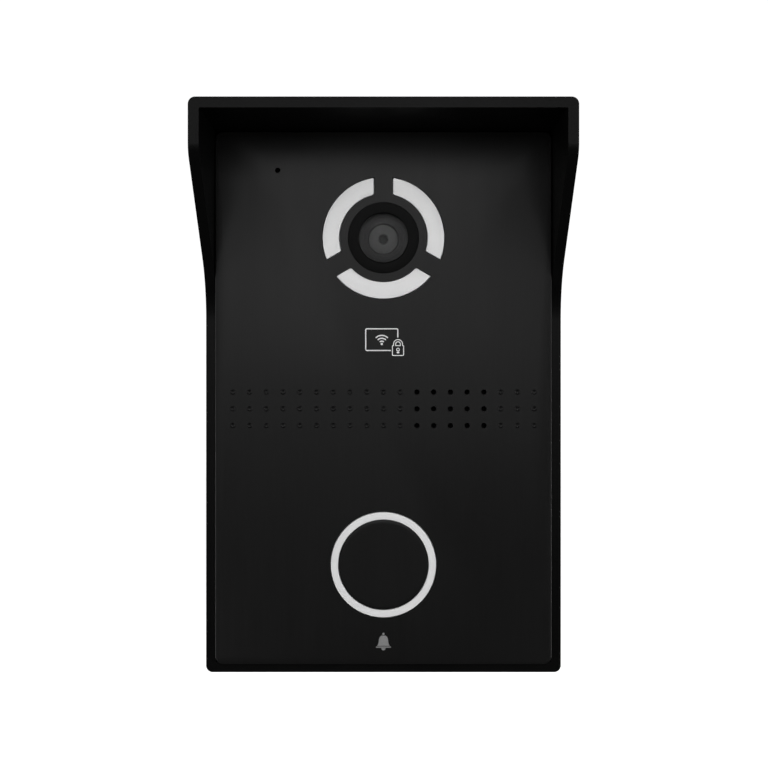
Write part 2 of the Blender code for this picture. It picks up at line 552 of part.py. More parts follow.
def build_camera(black_plastic, glass, metal, board_green, chip_black, steel):
    at = (0, CAMERA_Z)
    front = BEZEL_SEAT + TOUCH + BEZEL_THICK
    add_part("window_bezel", turned([(BEZEL_HOLE_R, BEZEL_SEAT + TOUCH), (BEZEL_R, BEZEL_SEAT + TOUCH),
                                     (BEZEL_R, front), (BEZEL_HOLE_R + 0.4 * MM, front),
                                     (BEZEL_HOLE_R, front - 0.4 * MM)], sides=ROUND), black_plastic, at)
    add_part("camera_window", rod(WINDOW_R, BEZEL_SEAT, BEZEL_SEAT - WINDOW_THICK, sides=ROUND), glass, at)

    seat, stop, thread_end = LENS_FRONT - 2.8 * MM, LENS_FRONT - 3.8 * MM, CAMERA_BOARD_FRONT + 2.4 * MM
    bore, head_back = LENS_GLASS_R + RUN, HOLDER_FRONT + 2.3 * MM
    barrel = [(bore, LENS_FRONT), (LENS_HEAD_R, LENS_FRONT), (LENS_HEAD_R, head_back),
              (LENS_THREAD_R, head_back), (LENS_THREAD_R, thread_end), (bore, thread_end), (bore, stop),
              (LENS_STOP_R, stop), (LENS_STOP_R, seat), (bore, seat)]
    add_part("lens_barrel", turned(barrel, sides=28), metal, at)
    rim, rise, steps = LENS_FRONT - 0.9 * MM, 0.7 * MM, 4
    angles = [math.pi / 2 * i / steps for i in range(steps + 1)]
    dome = [(LENS_GLASS_R * math.sin(a), rim + rise * math.cos(a)) for a in angles]
    element = turned([*dome, (LENS_GLASS_R, seat + TOUCH), (0, seat + TOUCH)], sides=28)
    add_part("lens_front_element", element, glass, at)

    base_front = CAMERA_BOARD_FRONT + 5.3 * MM
    holder = add_part("lens_holder", slab(26 * MM, 26 * MM, base_front, CAMERA_BOARD_FRONT + TOUCH, 2 * MM),
                      black_plastic, at)
    flange = rod(LIGHT_OUTER_R + 2 * MM, HOLDER_FRONT, HOLDER_FRONT - 1.2 * MM, sides=28)
    boolean(holder, "UNION", rod(9 * MM, HOLDER_FRONT - 0.2 * MM, base_front - MM, sides=24))
    boolean(holder, "UNION", flange)
    for sx in (-1, 1):
        ear = slab(10.0 * MM, 7.2 * MM, HOLDER_FRONT, HOLDER_FRONT - 1.2 * MM, 3.2 * MM,
                   (sx * (CAMERA_EAR - 1.4 * MM), 0))
        boolean(holder, "UNION", ear)
    ear_holes = [rod(PILOT_R, EAR_FRONT + MM, HOLDER_FRONT - 2 * MM, (sx * CAMERA_EAR, 0), 10)
                 for sx in (-1, 1)]
    thread = rod(LENS_THREAD_R + TOUCH, HOLDER_FRONT + MM, CAMERA_BOARD_FRONT, sides=24)
    boolean(holder, "DIFFERENCE", thread, *ear_holes)

    board = slab(CAMERA_BOARD, CAMERA_BOARD, CAMERA_BOARD_FRONT, CAMERA_BOARD_BACK, MM)
    add_part("camera_board", board, board_green, at)
    sensor_back = CAMERA_BOARD_FRONT + TOUCH
    add_part("image_sensor", slab(8 * MM, 7 * MM, sensor_back + MM, sensor_back), chip_black, at)
    for side, sx in (("left", -1), ("right", 1)):
        head_front = HOLDER_FRONT - 1.2 * MM - TOUCH
        shape = screw(*SMALL_SCREW, head_front - SMALL_HEAD, head_front, EAR_FRONT + 4.5 * MM)
        add_part(f"camera_screw_{side}", shape, steel, (sx * CAMERA_EAR, CAMERA_Z))

    build_ribbon(board_green)


def build_ribbon(orange):
    """The flat cable from behind the camera board down to the main board."""
    half, thick = 5 * MM, 0.3 * MM
    top = CAMERA_Z - 10 * MM
    path = [(CAMERA_BOARD_BACK - TOUCH, top), (CAMERA_BOARD_BACK - TOUCH, top - 5 * MM),
            (CAMERA_BOARD_BACK - 1.1 * MM, top - 9 * MM), (BOARD_FRONT + 1.1 * MM, top - 14 * MM),
            (BOARD_FRONT + TOUCH + thick, top - 18 * MM), (BOARD_FRONT + TOUCH + thick, top - 23 * MM)]
    outline = path + [(depth - thick, z) for depth, z in reversed(path)]
    add_part("camera_ribbon", side_prism(outline, 2 * half), orange)


def build_lights(diffuser_white, board_green, led_white):
    at = (0, CAMERA_Z)
    back = BEHIND_FACE - 1.5 * MM
    inner, outer = LIGHT_INNER_R - LIGHT_BASE_LIP, LIGHT_OUTER_R + LIGHT_BASE_LIP
    base = turned([(inner, BEHIND_FACE), (inner, back), (outer, back), (outer, BEHIND_FACE)], at, ROUND)
    diffuser = add_part("light_diffuser", base, diffuser_white)
    boolean(diffuser, "UNION", *light_windows(0, PLATE_FRONT - 0.1 * MM, BEHIND_FACE - 0.7 * MM))
    disc = rod(LIGHT_OUTER_R + 2 * MM, LIGHT_BOARD_FRONT, LIGHT_BOARD_FRONT - 1.2 * MM, sides=28)
    board = add_part("light_board", disc, board_green, at)
    boolean(board, "DIFFERENCE", rod(LENS_HEAD_R + 3 * MM, LIGHT_BOARD_FRONT + MM, HOLDER_FRONT, sides=24))
    middle_r = (LIGHT_INNER_R + LIGHT_OUTER_R) / 2
    back = LIGHT_BOARD_FRONT + TOUCH
    for window in range(LIGHT_WINDOWS):
        angle = math.tau * window / LIGHT_WINDOWS - math.pi / 2
        spot = (middle_r * math.cos(angle), CAMERA_Z + middle_r * math.sin(angle))
        add_part(f"light_led_{window + 1}", slab(LED.x, LED.z, back + LED.y, back), led_white, spot)


# ---- Call button --------------------------------------------------------------------------------

RING_BACK = BEHIND_FACE - 1.3 * MM
FLANGE_R = RING_OUTER_R + RING_FLANGE
HOLDER_R = FLANGE_R + TOUCH + HOLDER_WALL
HOLDER_EAR = HOLDER_R + 3.9 * MM
HOLDER_BOSS_BACK = FACE_BACK - MM
BUTTON_BOARD_BACK = FACE_BACK - 9.2 * MM
BUTTON_BOARD_FRONT = BUTTON_BOARD_BACK + 1.3 * MM
CAP_FLOOR = PLATE_FRONT - 2.5 * MM
SWITCH_W = 6.0 * MM
PLUNGER_R = 1.75 * MM
SWITCH_BACK = BUTTON_BOARD_FRONT + TOUCH
SWITCH_FLOOR = SWITCH_BACK + MM
PLUNGER_BACK = SWITCH_FLOOR + BUTTON_TRAVEL + TOUCH
SWITCH_FRONT = PLUNGER_BACK + 1.2 * MM
PLUNGER_FRONT = SWITCH_FRONT + BUTTON_TRAVEL + MM


def build_button(cap_black, diffuser_white, black_plastic, board_green, steel, led_white):
    at = (0, BUTTON_Z)
    stop, flange_back = RING_BACK - TOUCH, RING_BACK - 1.5 * MM
    cap = [(0, PLATE_FRONT), (CAP_R - 0.4 * MM, PLATE_FRONT), (CAP_R, PLATE_FRONT - 0.4 * MM), (CAP_R, stop),
           (CAP_R + 1.3 * MM, stop), (CAP_R + 1.3 * MM, flange_back), (CAP_R - 1.7 * MM, flange_back),
           (CAP_R - 1.7 * MM, CAP_FLOOR), (STEM_R, CAP_FLOOR), (STEM_R, PLUNGER_FRONT + TOUCH),
           (0, PLUNGER_FRONT + TOUCH)]
    add_part("button_cap", turned(cap, sides=ROUND), cap_black, at)
    ring_front = PLATE_FRONT - 0.1 * MM
    ring = [(RING_INNER_R, ring_front), (RING_OUTER_R, ring_front), (RING_OUTER_R, BEHIND_FACE),
            (FLANGE_R, BEHIND_FACE), (FLANGE_R, RING_BACK), (RING_INNER_R, RING_BACK)]
    add_part("button_light_ring", turned(ring, sides=ROUND), diffuser_white, at)

    floor = BUTTON_BOARD_BACK - TOUCH
    inner = FLANGE_R + TOUCH
    cup = [(inner, BEHIND_FACE), (HOLDER_R, BEHIND_FACE), (HOLDER_R, floor - MM), (8 * MM, floor - MM),
           (8 * MM, floor), (inner, floor)]
    holder = add_part("button_holder", turned(cup, sides=28), black_plastic, at)
    ear_front = HOLDER_BOSS_BACK - TOUCH
    ear_back = ear_front - 1.6 * MM
    for sx in (-1, 1):
        middle = sx * (HOLDER_EAR - 0.6 * MM)
        boolean(holder, "UNION", slab(8.4 * MM, 7 * MM, ear_front, ear_back, 3 * MM, (middle, 0)))
    boolean(holder, "DIFFERENCE", *[rod(PILOT_R, ear_front + MM, ear_back - MM, (sx * HOLDER_EAR, 0), 10)
                                    for sx in (-1, 1)])
    for side, sx in (("left", -1), ("right", 1)):
        head_front = ear_back - TOUCH
        shape = screw(*SMALL_SCREW, head_front - SMALL_HEAD, head_front, PLATE_FRONT - 1.8 * MM)
        add_part(f"button_screw_{side}", shape, steel, (sx * HOLDER_EAR, BUTTON_Z))

    add_part("button_board", rod(FLANGE_R, BUTTON_BOARD_FRONT, BUTTON_BOARD_BACK, sides=28), board_green, at)
    body = add_part("switch_body", slab(SWITCH_W, SWITCH_W, SWITCH_FRONT, SWITCH_BACK), black_plastic, at)
    boolean(body, "DIFFERENCE", rod(PLUNGER_R + 0.2 * MM, SWITCH_FRONT + MM, SWITCH_FLOOR, sides=16))
    add_part("switch_plunger", rod(PLUNGER_R, PLUNGER_FRONT, PLUNGER_BACK, sides=16), cap_black, at)
    for side, sx in (("left", -1), ("right", 1)):
        add_part(f"ring_led_{side}", slab(1.6 * MM, 2.8 * MM, SWITCH_BACK + 1.2 * MM, SWITCH_BACK), led_white,
                 (sx * (RING_OUTER_R + 0.3 * MM), BUTTON_Z))
    build_button_spring(steel)


def build_button_spring(steel):
    """A coil round the switch, from the board to the inside of the cap."""
    back, front = SWITCH_BACK + SPRING_WIRE_R, CAP_FLOOR - TOUCH - SPRING_WIRE_R
    per_turn = 10
    count = SPRING_TURNS * per_turn
    curve = bpy.data.curves.new("button_spring", "CURVE")
    curve.dimensions = "3D"
    curve.bevel_depth = SPRING_WIRE_R
    curve.bevel_resolution = 1
    curve.use_fill_caps = True
    spline = curve.splines.new("POLY")
    spline.points.add(count)
    for step in range(count + 1):
        angle = math.tau * step / per_turn
        depth = back + (front - back) * step / count
        spline.points[step].co = (SPRING_R * math.cos(angle), -depth, SPRING_R * math.sin(angle), 1)
    curve.materials.append(steel)
    spring = bpy.data.objects.new("button_spring", curve)
    spring.location = (0, 0, BUTTON_Z)
    bpy.context.scene.collection.objects.link(spring)


# ---- Speaker and microphone ---------------------------------------------------------------------

def build_speaker(black_plastic, paper, magnet_metal, foam, steel, copper):
    at = (SPEAKER_X, GRILLE_Z)
    mesh_back = BEHIND_FACE - 0.4 * MM
    add_part("acoustic_mesh", rod(SPEAKER_R - 0.5 * MM, BEHIND_FACE, mesh_back, sides=24), foam, at)
    pad_front = mesh_back - TOUCH
    pad_back = pad_front - MM
    pad = [(CONE_R + 0.5 * MM, pad_front), (SPEAKER_R, pad_front), (SPEAKER_R, pad_back),
           (CONE_R + 0.5 * MM, pad_back)]
    add_part("speaker_gasket", turned(pad, sides=24), foam, at)

    rim = pad_back - TOUCH
    bowl = rim - 5.0 * MM
    inner = CONE_R + 0.7 * MM
    basket = [(SPEAKER_R, rim), (inner, rim), (inner, rim - 1.7 * MM), (COIL_R + 1.2 * MM, bowl),
              (COIL_R + 1.2 * MM, bowl - 0.8 * MM), (MAGNET_R + 0.4 * MM, bowl - 0.8 * MM),
              (SPEAKER_R - 0.8 * MM, rim - 2.3 * MM), (SPEAKER_R, rim - 2.3 * MM)]
    add_part("speaker_basket", turned(basket, sides=24), black_plastic, at)

    yoke_front = bowl - 0.8 * MM - TOUCH
    yoke_back = yoke_front - 4.7 * MM
    groove = yoke_front - 2.7 * MM
    magnet = [(0, yoke_front), (COIL_R - 0.8 * MM, yoke_front), (COIL_R - 0.8 * MM, groove),
              (COIL_R + 0.4 * MM, groove), (COIL_R + 0.4 * MM, yoke_front), (MAGNET_R, yoke_front),
              (MAGNET_R, yoke_back), (0, yoke_back)]
    add_part("speaker_magnet", turned(magnet, sides=24), magnet_metal, at)

    neck = bowl + 1.1 * MM
    coil_back, coil_inner = groove + 1.1 * MM, COIL_R - 0.4 * MM
    cone = [(0, neck + 1.4 * MM), (2.2 * MM, neck + 1.1 * MM), (COIL_R, neck + 0.5 * MM),
            (CONE_R, rim - 0.6 * MM), (CONE_R, rim - 1.1 * MM), (COIL_R, neck), (COIL_R, coil_back),
            (coil_inner, coil_back), (coil_inner, neck + 0.3 * MM), (0, neck + 0.9 * MM)]
    add_part("speaker_cone", turned(cone, sides=24), paper, at)

    reach, thick = SPEAKER_R + 2.5 * MM, MM
    strap_back = yoke_back - TOUCH - thick
    strap = [(-reach - thick, strap_back), (reach + thick, strap_back), (reach + thick, BEHIND_FACE),
             (reach, BEHIND_FACE), (reach, strap_back + thick), (-reach, strap_back + thick),
             (-reach, BEHIND_FACE), (-reach - thick, BEHIND_FACE)]
    shape = prism([(x, -depth) for x, depth in strap], CLAMP_WIDTH / 2, -CLAMP_WIDTH / 2)
    shape.transform(Matrix.Rotation(math.radians(-90), 4, "X"))
    shape.transform(Matrix.Rotation(math.radians(180), 4, "Y"))
    bmesh.ops.recalc_face_normals(shape, faces=shape.faces)
    add_part("speaker_clamp", shape, steel, at)

    build_speaker_lead(copper, rim - 2.3 * MM - 1.5 * MM)


def build_speaker_lead(copper, start_depth):
    """The speaker's short twin lead, from its rim down to the main board."""
    low = GRILLE_Z - SPEAKER_R
    ends = [(SPEAKER_X, start_depth, low - MM), (SPEAKER_X + 2 * MM, start_depth - 2 * MM, low - 4 * MM),
            (SPEAKER_X + 4 * MM, start_depth - 9 * MM, low - 5 * MM),
            (SPEAKER_X + 5 * MM, BOARD_FRONT + 4 * MM, low - 3 * MM),
            (SPEAKER_X + 5 * MM, BOARD_FRONT + 0.5 * MM, low - 2 * MM)]
    curve = bpy.data.curves.new("speaker_lead", "CURVE")
    curve.dimensions = "3D"
    curve.bevel_depth = 0.7 * MM
    curve.bevel_resolution = 2
    curve.use_fill_caps = True
    spline = curve.splines.new("POLY")
    points = smooth_through([Vector((x, -depth, z)) for x, depth, z in ends], 5)
    spline.points.add(len(points) - 1)
    for point, place in zip(spline.points, points):
        point.co = (*place, 1)
    curve.materials.append(copper)
    lead = bpy.data.objects.new("speaker_lead", curve)
    bpy.context.scene.collection.objects.link(lead)


def smooth_through(points, steps):
    """A Catmull-Rom curve through the points."""
    padded = [2 * points[0] - points[1], *points, 2 * points[-1] - points[-2]]
    found = [points[0]]
    for a, b, c, d in zip(padded, padded[1:], padded[2:], padded[3:]):
        for step in range(1, steps + 1):
            t = step / steps
            found.append(0.5 * (2 * b + (c - a) * t + (2 * a - 5 * b + 4 * c - d) * t ** 2
                                + (3 * b - a - 3 * c + d) * t ** 3))
    return found


def build_microphone(rubber, metal):
    at = (MIC_X, MIC_Z)
    back, seat = BEHIND_FACE - 5.4 * MM, BEHIND_FACE - 1.4 * MM
    pocket_r = MIC_CAPSULE_R + TOUCH
    boot = [(MIC_HOLE_R, BEHIND_FACE), (MIC_BOOT_R, BEHIND_FACE), (MIC_BOOT_R, back), (pocket_r, back),
            (pocket_r, seat), (MIC_HOLE_R, seat)]
    add_part("microphone_boot", turned(boot, sides=24), rubber, at)
    add_part("microphone_capsule", rod(MIC_CAPSULE_R, seat - TOUCH, back + 0.6 * MM, sides=20), metal, at)


# ---- Boards, connectors and the tamper switch ---------------------------------------------------

def build_electronics(board_green, chip_black, aluminium, relay_blue, terminal_green, steel, copper):
    board = add_part("main_board", slab(BOARD_W, BOARD_H, BOARD_FRONT, BOARD_BACK, 1.5 * MM), board_green)
    holes = [rod(1.7 * MM, BOARD_FRONT + MM, BOARD_BACK - MM, (sx * POST_X, sz * POST_Z), 12)
             for sx, sz in FOUR_CORNERS]
    boolean(board, "DIFFERENCE", *holes)
    front, rear = BOARD_FRONT + TOUCH, BOARD_BACK - TOUCH
    for number, (sx, sz) in enumerate(FOUR_CORNERS, 1):
        shape = turned([(0, BOARD_BACK - 8 * MM), (1.2 * MM, BOARD_BACK - 8 * MM), (1.2 * MM, front),
                        (2.8 * MM, front), (2.8 * MM, front + 1.2 * MM), (2.2 * MM, front + 1.8 * MM),
                        (0, front + 1.8 * MM)], sides=12)
        add_part(f"board_screw_{number}", shape, steel, (sx * POST_X, sz * POST_Z))

    chip_at = (-20 * MM, -5 * MM)
    chip_front = front + 1.6 * MM
    add_part("processor_chip", slab(17 * MM, 17 * MM, chip_front, front), chip_black, chip_at)
    sink = add_part("heat_sink", slab(20 * MM, 20 * MM, chip_front + TOUCH + 7 * MM, chip_front + TOUCH),
                    aluminium, chip_at)
    fins, pitch = 5, 4.2 * MM
    slots = [slab(1.8 * MM, 24 * MM, chip_front + 9 * MM, chip_front + 2.2 * MM,
                  at=((fin - (fins - 2) / 2) * pitch, 0)) for fin in range(fins - 1)]
    boolean(sink, "DIFFERENCE", *slots)

    add_part("lock_relay", slab(19 * MM, 15.5 * MM, rear, rear - 15 * MM, MM), relay_blue, (25 * MM, 35 * MM))
    add_part("power_capacitor", rod(5 * MM, rear, rear - 12 * MM, sides=24), aluminium, (0, 34 * MM))
    build_jack(aluminium, rear)
    build_terminal(terminal_green, rear)

    low, high = GRILLE_Z + SPEAKER_R, CAMERA_Z - LIGHT_OUTER_R - LIGHT_BASE_LIP
    loop_w, loop_h, track = 44 * MM, high - low - 2 * ANTENNA_GAP, 2.5 * MM
    loop = slab(loop_w, loop_h, BEHIND_FACE, BEHIND_FACE - 0.8 * MM, 2 * MM)
    antenna = add_part("reader_antenna", loop, copper, (0, (low + high) / 2))
    inside = slab(loop_w - 2 * track, loop_h - 2 * track, PLATE_FRONT, BEHIND_FACE - 2 * MM)
    boolean(antenna, "DIFFERENCE", inside)


def build_jack(metal, rear):
    """An eight-way network jack whose mouth faces down into the bay."""
    low = CONNECTOR_TOP - JACK.z
    body = block((-JACK.x / 2, JACK.x / 2), (rear, rear - JACK.y), (low, CONNECTOR_TOP))
    jack = add_part("network_jack", body, metal, (JACK_X, 0))
    deep = low + 13 * MM
    mouth_back, mouth_front = rear - JACK.y + 3.2 * MM, rear - 2.6 * MM
    mouth = block((-5.9 * MM, 5.9 * MM), (mouth_front, mouth_back), (low - MM, deep))
    boolean(jack, "DIFFERENCE", mouth)
    latch = block((-3.1 * MM, 3.1 * MM), (mouth_back + MM, mouth_back - 1.8 * MM), (low - MM, deep - MM))
    boolean(jack, "DIFFERENCE", latch)


def build_terminal(plastic, rear):
    """A row of wire clamps: square wire entries underneath, round screw wells facing the wall."""
    low = CONNECTOR_TOP - TERMINAL.z
    body = block((-TERMINAL.x / 2, TERMINAL.x / 2), (rear, rear - TERMINAL.y), (low, CONNECTOR_TOP))
    terminal = add_part("terminal_block", body, plastic, (TERMINAL_X, 0))
    pitch = TERMINAL.x / TERMINAL_POLES
    cuts = []
    for pole in range(TERMINAL_POLES):
        x = (pole - (TERMINAL_POLES - 1) / 2) * pitch
        entry = rear - TERMINAL.y + 4.4 * MM
        cuts.append(block((x - 1.2 * MM, x + 1.2 * MM), (entry, entry - 2.4 * MM), (low - MM, low + 3 * MM)))
        back = rear - TERMINAL.y
        cuts.append(rod(1.3 * MM, back + 1.5 * MM, back - MM, (x, low + 6 * MM), 8))
    boolean(terminal, "DIFFERENCE", *cuts)


def build_tamper(black_plastic, white_plastic):
    at = (TAMPER_X, TAMPER_Z)
    front = BOARD_BACK - TOUCH
    body = add_part("tamper_switch", slab(8 * MM, 8 * MM, front, front - 8 * MM, 0.5 * MM), black_plastic, at)
    floor = front - 2.2 * MM
    boolean(body, "DIFFERENCE", rod(TAMPER_R + TOUCH, floor, front - 9 * MM, sides=16))
    tip = BACK_PLATE + TAMPER_PAD + TOUCH
    plunger_front = floor - TAMPER_TRAVEL - TOUCH
    add_part("tamper_plunger", rod(TAMPER_R, plunger_front, tip, sides=16), white_plastic, at)


# ---- The whole ----------------------------------------------------------------------------------

def clear_scene():
    for obj in list(bpy.data.objects):
        bpy.data.objects.remove(obj)


def main():
    clear_scene()
    housing_metal = make_material("housing_black", (0.011, 0.011, 0.012), 0.45, 0.2)
    plate_metal = make_material("plate_black", (0.019, 0.019, 0.019), 0.4, 0.3)
    cap_black = make_material("cap_black", (0.015, 0.015, 0.015), 0.4)
    black_plastic = make_material("black_plastic", (0.012, 0.012, 0.012), 0.5)
    rubber = make_material("rubber_black", (0.01, 0.01, 0.01), 0.8)
    foam = make_material("foam_grey", (0.05, 0.05, 0.05), 0.9)
    diffuser_white = make_material("diffuser_white", (0.6, 0.6, 0.6), 0.5)
    glass = make_material("glass_dark", (0.05, 0.05, 0.06), 0.08)
    steel = make_material("steel", (0.45, 0.45, 0.46), 0.3, 1.0)
    lens_metal = make_material("lens_metal", (0.03, 0.03, 0.03), 0.4, 0.5)
    aluminium = make_material("aluminium", (0.6, 0.6, 0.62), 0.35, 1.0)
    copper = make_material("copper", (0.6, 0.28, 0.14), 0.4, 1.0)
    board_green = make_material("board_green", (0.02, 0.12, 0.05), 0.5)
    chip_black = make_material("chip_black", (0.02, 0.02, 0.022), 0.4)
    led_white = make_material("led_white", (0.85, 0.85, 0.75), 0.3)
    relay_blue = make_material("relay_blue", (0.03, 0.1, 0.35), 0.45)
    terminal_green = make_material("terminal_green", (0.03, 0.25, 0.08), 0.5)
    paper = make_material("cone_paper", (0.03, 0.03, 0.03), 0.9)

    build_housing(housing_metal)
    build_lock_screws(steel)
    build_front_plate(plate_metal)
    build_rear_case(black_plastic, rubber, steel)
    build_camera(black_plastic, glass, lens_metal, board_green, chip_black, steel)
    build_lights(diffuser_white, board_green, led_white)
    build_button(cap_black, diffuser_white, black_plastic, board_green, steel, led_white)
    build_speaker(black_plastic, paper, aluminium, foam, steel, copper)
    build_microphone(rubber, aluminium)
    build_electronics(board_green, chip_black, aluminium, relay_blue, terminal_green, steel, copper)
    build_tamper(black_plastic, diffuser_white)


main()
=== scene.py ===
"""The looks of the wall-mounted video door station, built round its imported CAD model.

Metres, +Z up, the front faces -Y and the wall is at y = 0. A depth is the distance out from the
wall, so a point at depth d lies at y = -d. The large pieces that show are built again here as fine
meshes with rounded edges, in the places that the CAD boxes give; every other CAD piece keeps its
own mesh and gets a finished material.
"""

import json
import math

import bmesh
import bpy
from mathutils import Matrix, Vector


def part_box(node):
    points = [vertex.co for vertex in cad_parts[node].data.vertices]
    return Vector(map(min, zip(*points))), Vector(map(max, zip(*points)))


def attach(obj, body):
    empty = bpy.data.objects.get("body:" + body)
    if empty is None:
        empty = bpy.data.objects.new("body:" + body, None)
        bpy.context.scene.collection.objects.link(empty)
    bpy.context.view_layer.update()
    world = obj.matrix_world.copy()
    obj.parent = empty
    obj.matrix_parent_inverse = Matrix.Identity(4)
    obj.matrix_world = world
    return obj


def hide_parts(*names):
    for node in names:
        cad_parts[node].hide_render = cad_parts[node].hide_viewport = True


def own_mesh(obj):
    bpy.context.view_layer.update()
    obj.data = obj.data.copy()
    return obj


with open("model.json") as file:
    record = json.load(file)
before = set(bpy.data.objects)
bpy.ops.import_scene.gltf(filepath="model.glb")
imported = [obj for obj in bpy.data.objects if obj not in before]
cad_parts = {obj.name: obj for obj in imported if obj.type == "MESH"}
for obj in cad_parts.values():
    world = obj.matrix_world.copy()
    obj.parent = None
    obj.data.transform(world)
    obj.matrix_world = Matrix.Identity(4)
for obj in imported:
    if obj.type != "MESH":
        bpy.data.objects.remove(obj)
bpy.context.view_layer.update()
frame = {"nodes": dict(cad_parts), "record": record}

MM = 0.001
AROUND = 96  # facets of a large round piece
EDGE = 0.2 * MM  # usual rounding of a moulded or machined edge
SLIGHT_TURN = math.radians(20)  # an outline's corner that turns less than this isn't rounded
SHARP_TURN = math.radians(32)  # faces that meet at more than this are shaded with a sharp edge


# ---- Places and sizes, read from the CAD model ---------------------------------------------------

def depths(node):
    """(front, back) of a node, as depths out from the wall."""
    low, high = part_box(node)
    return -low.y, -high.y


def centre(node):
    """The middle of a node's front view, as (x, z)."""
    low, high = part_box(node)
    return (low.x + high.x) / 2, (low.z + high.z) / 2


def width(node):
    low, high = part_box(node)
    return high.x - low.x


def height(node):
    low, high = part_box(node)
    return high.z - low.z


PLATE_FRONT, _ = depths("front_plate")
PLATE_BACK = PLATE_FRONT - 5.0 * MM  # of the plate's rim
FACE_BACK = PLATE_FRONT - 3.0 * MM  # of the plate's face, inside the rim
PLATE_W, PLATE_H = width("front_plate"), height("front_plate")
PLATE_CORNER = 2.4 * MM
POCKET_W, POCKET_H = PLATE_W - 12.5 * MM, PLATE_H - 13 * MM  # the hollow in the plate's back
SEAM = 0.23 * MM  # shadow gap round a white piece that sits in the plate

HOUSING_W, HOUSING_H = width("hood_housing"), height("hood_housing")
HOOD_FRONT, _ = depths("hood_housing")
HOUSING_WALL = 3.0 * MM
OPENING_W, OPENING_H = HOUSING_W - 2 * HOUSING_WALL, HOUSING_H - 2 * HOUSING_WALL
RIM_FRONT = 50.0 * MM
HOUSING_CORNER = 2.0 * MM
HOOD_LIP = 15.0 * MM
HOOD_LIP_FILLET = 6.0 * MM
HOOD_FOOT_FILLET = 25.0 * MM
LEDGE_FRONT, LEDGE_BACK = 47.3 * MM, 45.3 * MM
LEDGE_IN_X, LEDGE_IN_Z = 3.0 * MM, 4.0 * MM  # how far the ledge reaches in from the opening's edges
BACK_PLATE = 2.5 * MM
CABLE_W, CABLE_H, CABLE_Z = 56.0 * MM, 40.0 * MM, -36.0 * MM
SLOT_W, SLOT_LENGTH, SLOT_X = 4.6 * MM, 9.0 * MM, 35.0 * MM
SLOT_DOWN, SLOT_UP = 20.75 * MM, 9.75 * MM  # from the housing's top and bottom edges
LOCK_DEPTH = sum(depths("lock_screw_left")) / 2
LOCK_HOLE_R, LOCK_SINK_R = 2.2 * MM, 4.3 * MM
TAMPER_PAD_R, TAMPER_PAD = 4.0 * MM, 1.5 * MM

CAMERA = centre("camera_window")
BUTTON = centre("button_cap")
MICROPHONE = centre("microphone_boot")
SPEAKER = centre("acoustic_mesh")

LIGHT_INNER_R, LIGHT_OUTER_R = 13.25 * MM, 18.15 * MM
LIGHT_GAP = 5.85 * MM
LIGHT_WINDOWS = 3
BEZEL_INNER_R = 7.35 * MM
LENS_BORE_R, LENS_THREAD_R, LENS_HEAD = 4.5 * MM, 6.0 * MM, 4.8 * MM
LENS_RISE = 0.7 * MM  # how far the lens's front glass bulges
IRIS_HOLE_R = 1.4 * MM
CAP_R = 13.4 * MM
RING_INNER_R, RING_OUTER_R = 13.55 * MM, 15.7 * MM
MICROPHONE_HOLE_R = 0.8 * MM
GRILLE_PITCH = 5.0 * MM
GRILLE_ROWS = 3
GRILLE_COLUMNS = 9  # on each side of the middle one
GRILLE_R = 0.8 * MM
OPEN_COLUMNS = 2  # bored columns on each side of the one over the speaker's middle

PRINT_BACK = PLATE_FRONT + 0.004 * MM
PRINT_FRONT = PLATE_FRONT + 0.030 * MM
FLOOR_Z = -0.45


# ---- Mesh helpers --------------------------------------------------------------------------------

def softened(points, radius, closed=True, steps=3):
    """The outline with its corners rounded off, except the slight ones. The radius may be a list, one
    for each corner."""
    points = [Vector(p) for p in points]
    count = len(points)
    radii = radius if isinstance(radius, list) else [radius] * count
    found = []
    for i, corner in enumerate(points):
        if not closed and i in (0, count - 1):
            found.append(corner)
            continue
        before, after = points[i - 1] - corner, points[(i + 1) % count] - corner
        turn = math.pi - before.angle(after)
        if turn < SLIGHT_TURN:
            found.append(corner)
            continue
        reach = min(radii[i] * math.tan(turn / 2), 0.45 * before.length, 0.45 * after.length)
        start, end = corner + before.normalized() * reach, corner + after.normalized() * reach
        for step in range(steps + 1):
            t = step / steps
            found.append((1 - t) ** 2 * start + 2 * t * (1 - t) * corner + t * t * end)
    return [tuple(p) for p in found]


def rounded_outline(wide, high, corner, steps=8, at=(0, 0)):
    """Corner points of a rectangle in (x, z), anticlockwise, with round corners."""
    points = []
    for turn, (sx, sz) in enumerate([(1, 1), (-1, 1), (-1, -1), (1, -1)]):
        for step in range(steps + 1):
            angle = math.radians(90) * (turn + step / steps)
            points.append((at[0] + sx * (wide / 2 - corner) + corner * math.cos(angle),
                           at[1] + sz * (high / 2 - corner) + corner * math.sin(angle)))
    return points


def circle(radius, at=(0, 0), sides=24):
    return [(at[0] + radius * math.cos(math.tau * i / sides), at[1] + radius * math.sin(math.tau * i / sides))
            for i in range(sides)]


def prism(points, front, back):
    """The outline in (x, z), extruded from depth back to depth front."""
    shape = bmesh.new()
    face = shape.faces.new([shape.verts.new((x, -front, z)) for x, z in points])
    made = bmesh.ops.extrude_face_region(shape, geom=[face])
    moved = [item for item in made["geom"] if isinstance(item, bmesh.types.BMVert)]
    bmesh.ops.translate(shape, verts=moved, vec=(0, front - back, 0))
    bmesh.ops.recalc_face_normals(shape, faces=shape.faces)
    return shape


def front_rounded(shape, front, size, segments):
    """The shape with the edges at its front rounded."""
    rim = [e for e in shape.edges if all(v.co.y < -front + 1e-7 for v in e.verts)]
    bmesh.ops.bevel(shape, geom=rim, offset=size, segments=segments, profile=0.5, affect="EDGES")
    return shape


def slab(wide, high, front, back, corner=0.0001, at=(0, 0), steps=8):
    return prism(rounded_outline(wide, high, corner, steps, at), front, back)


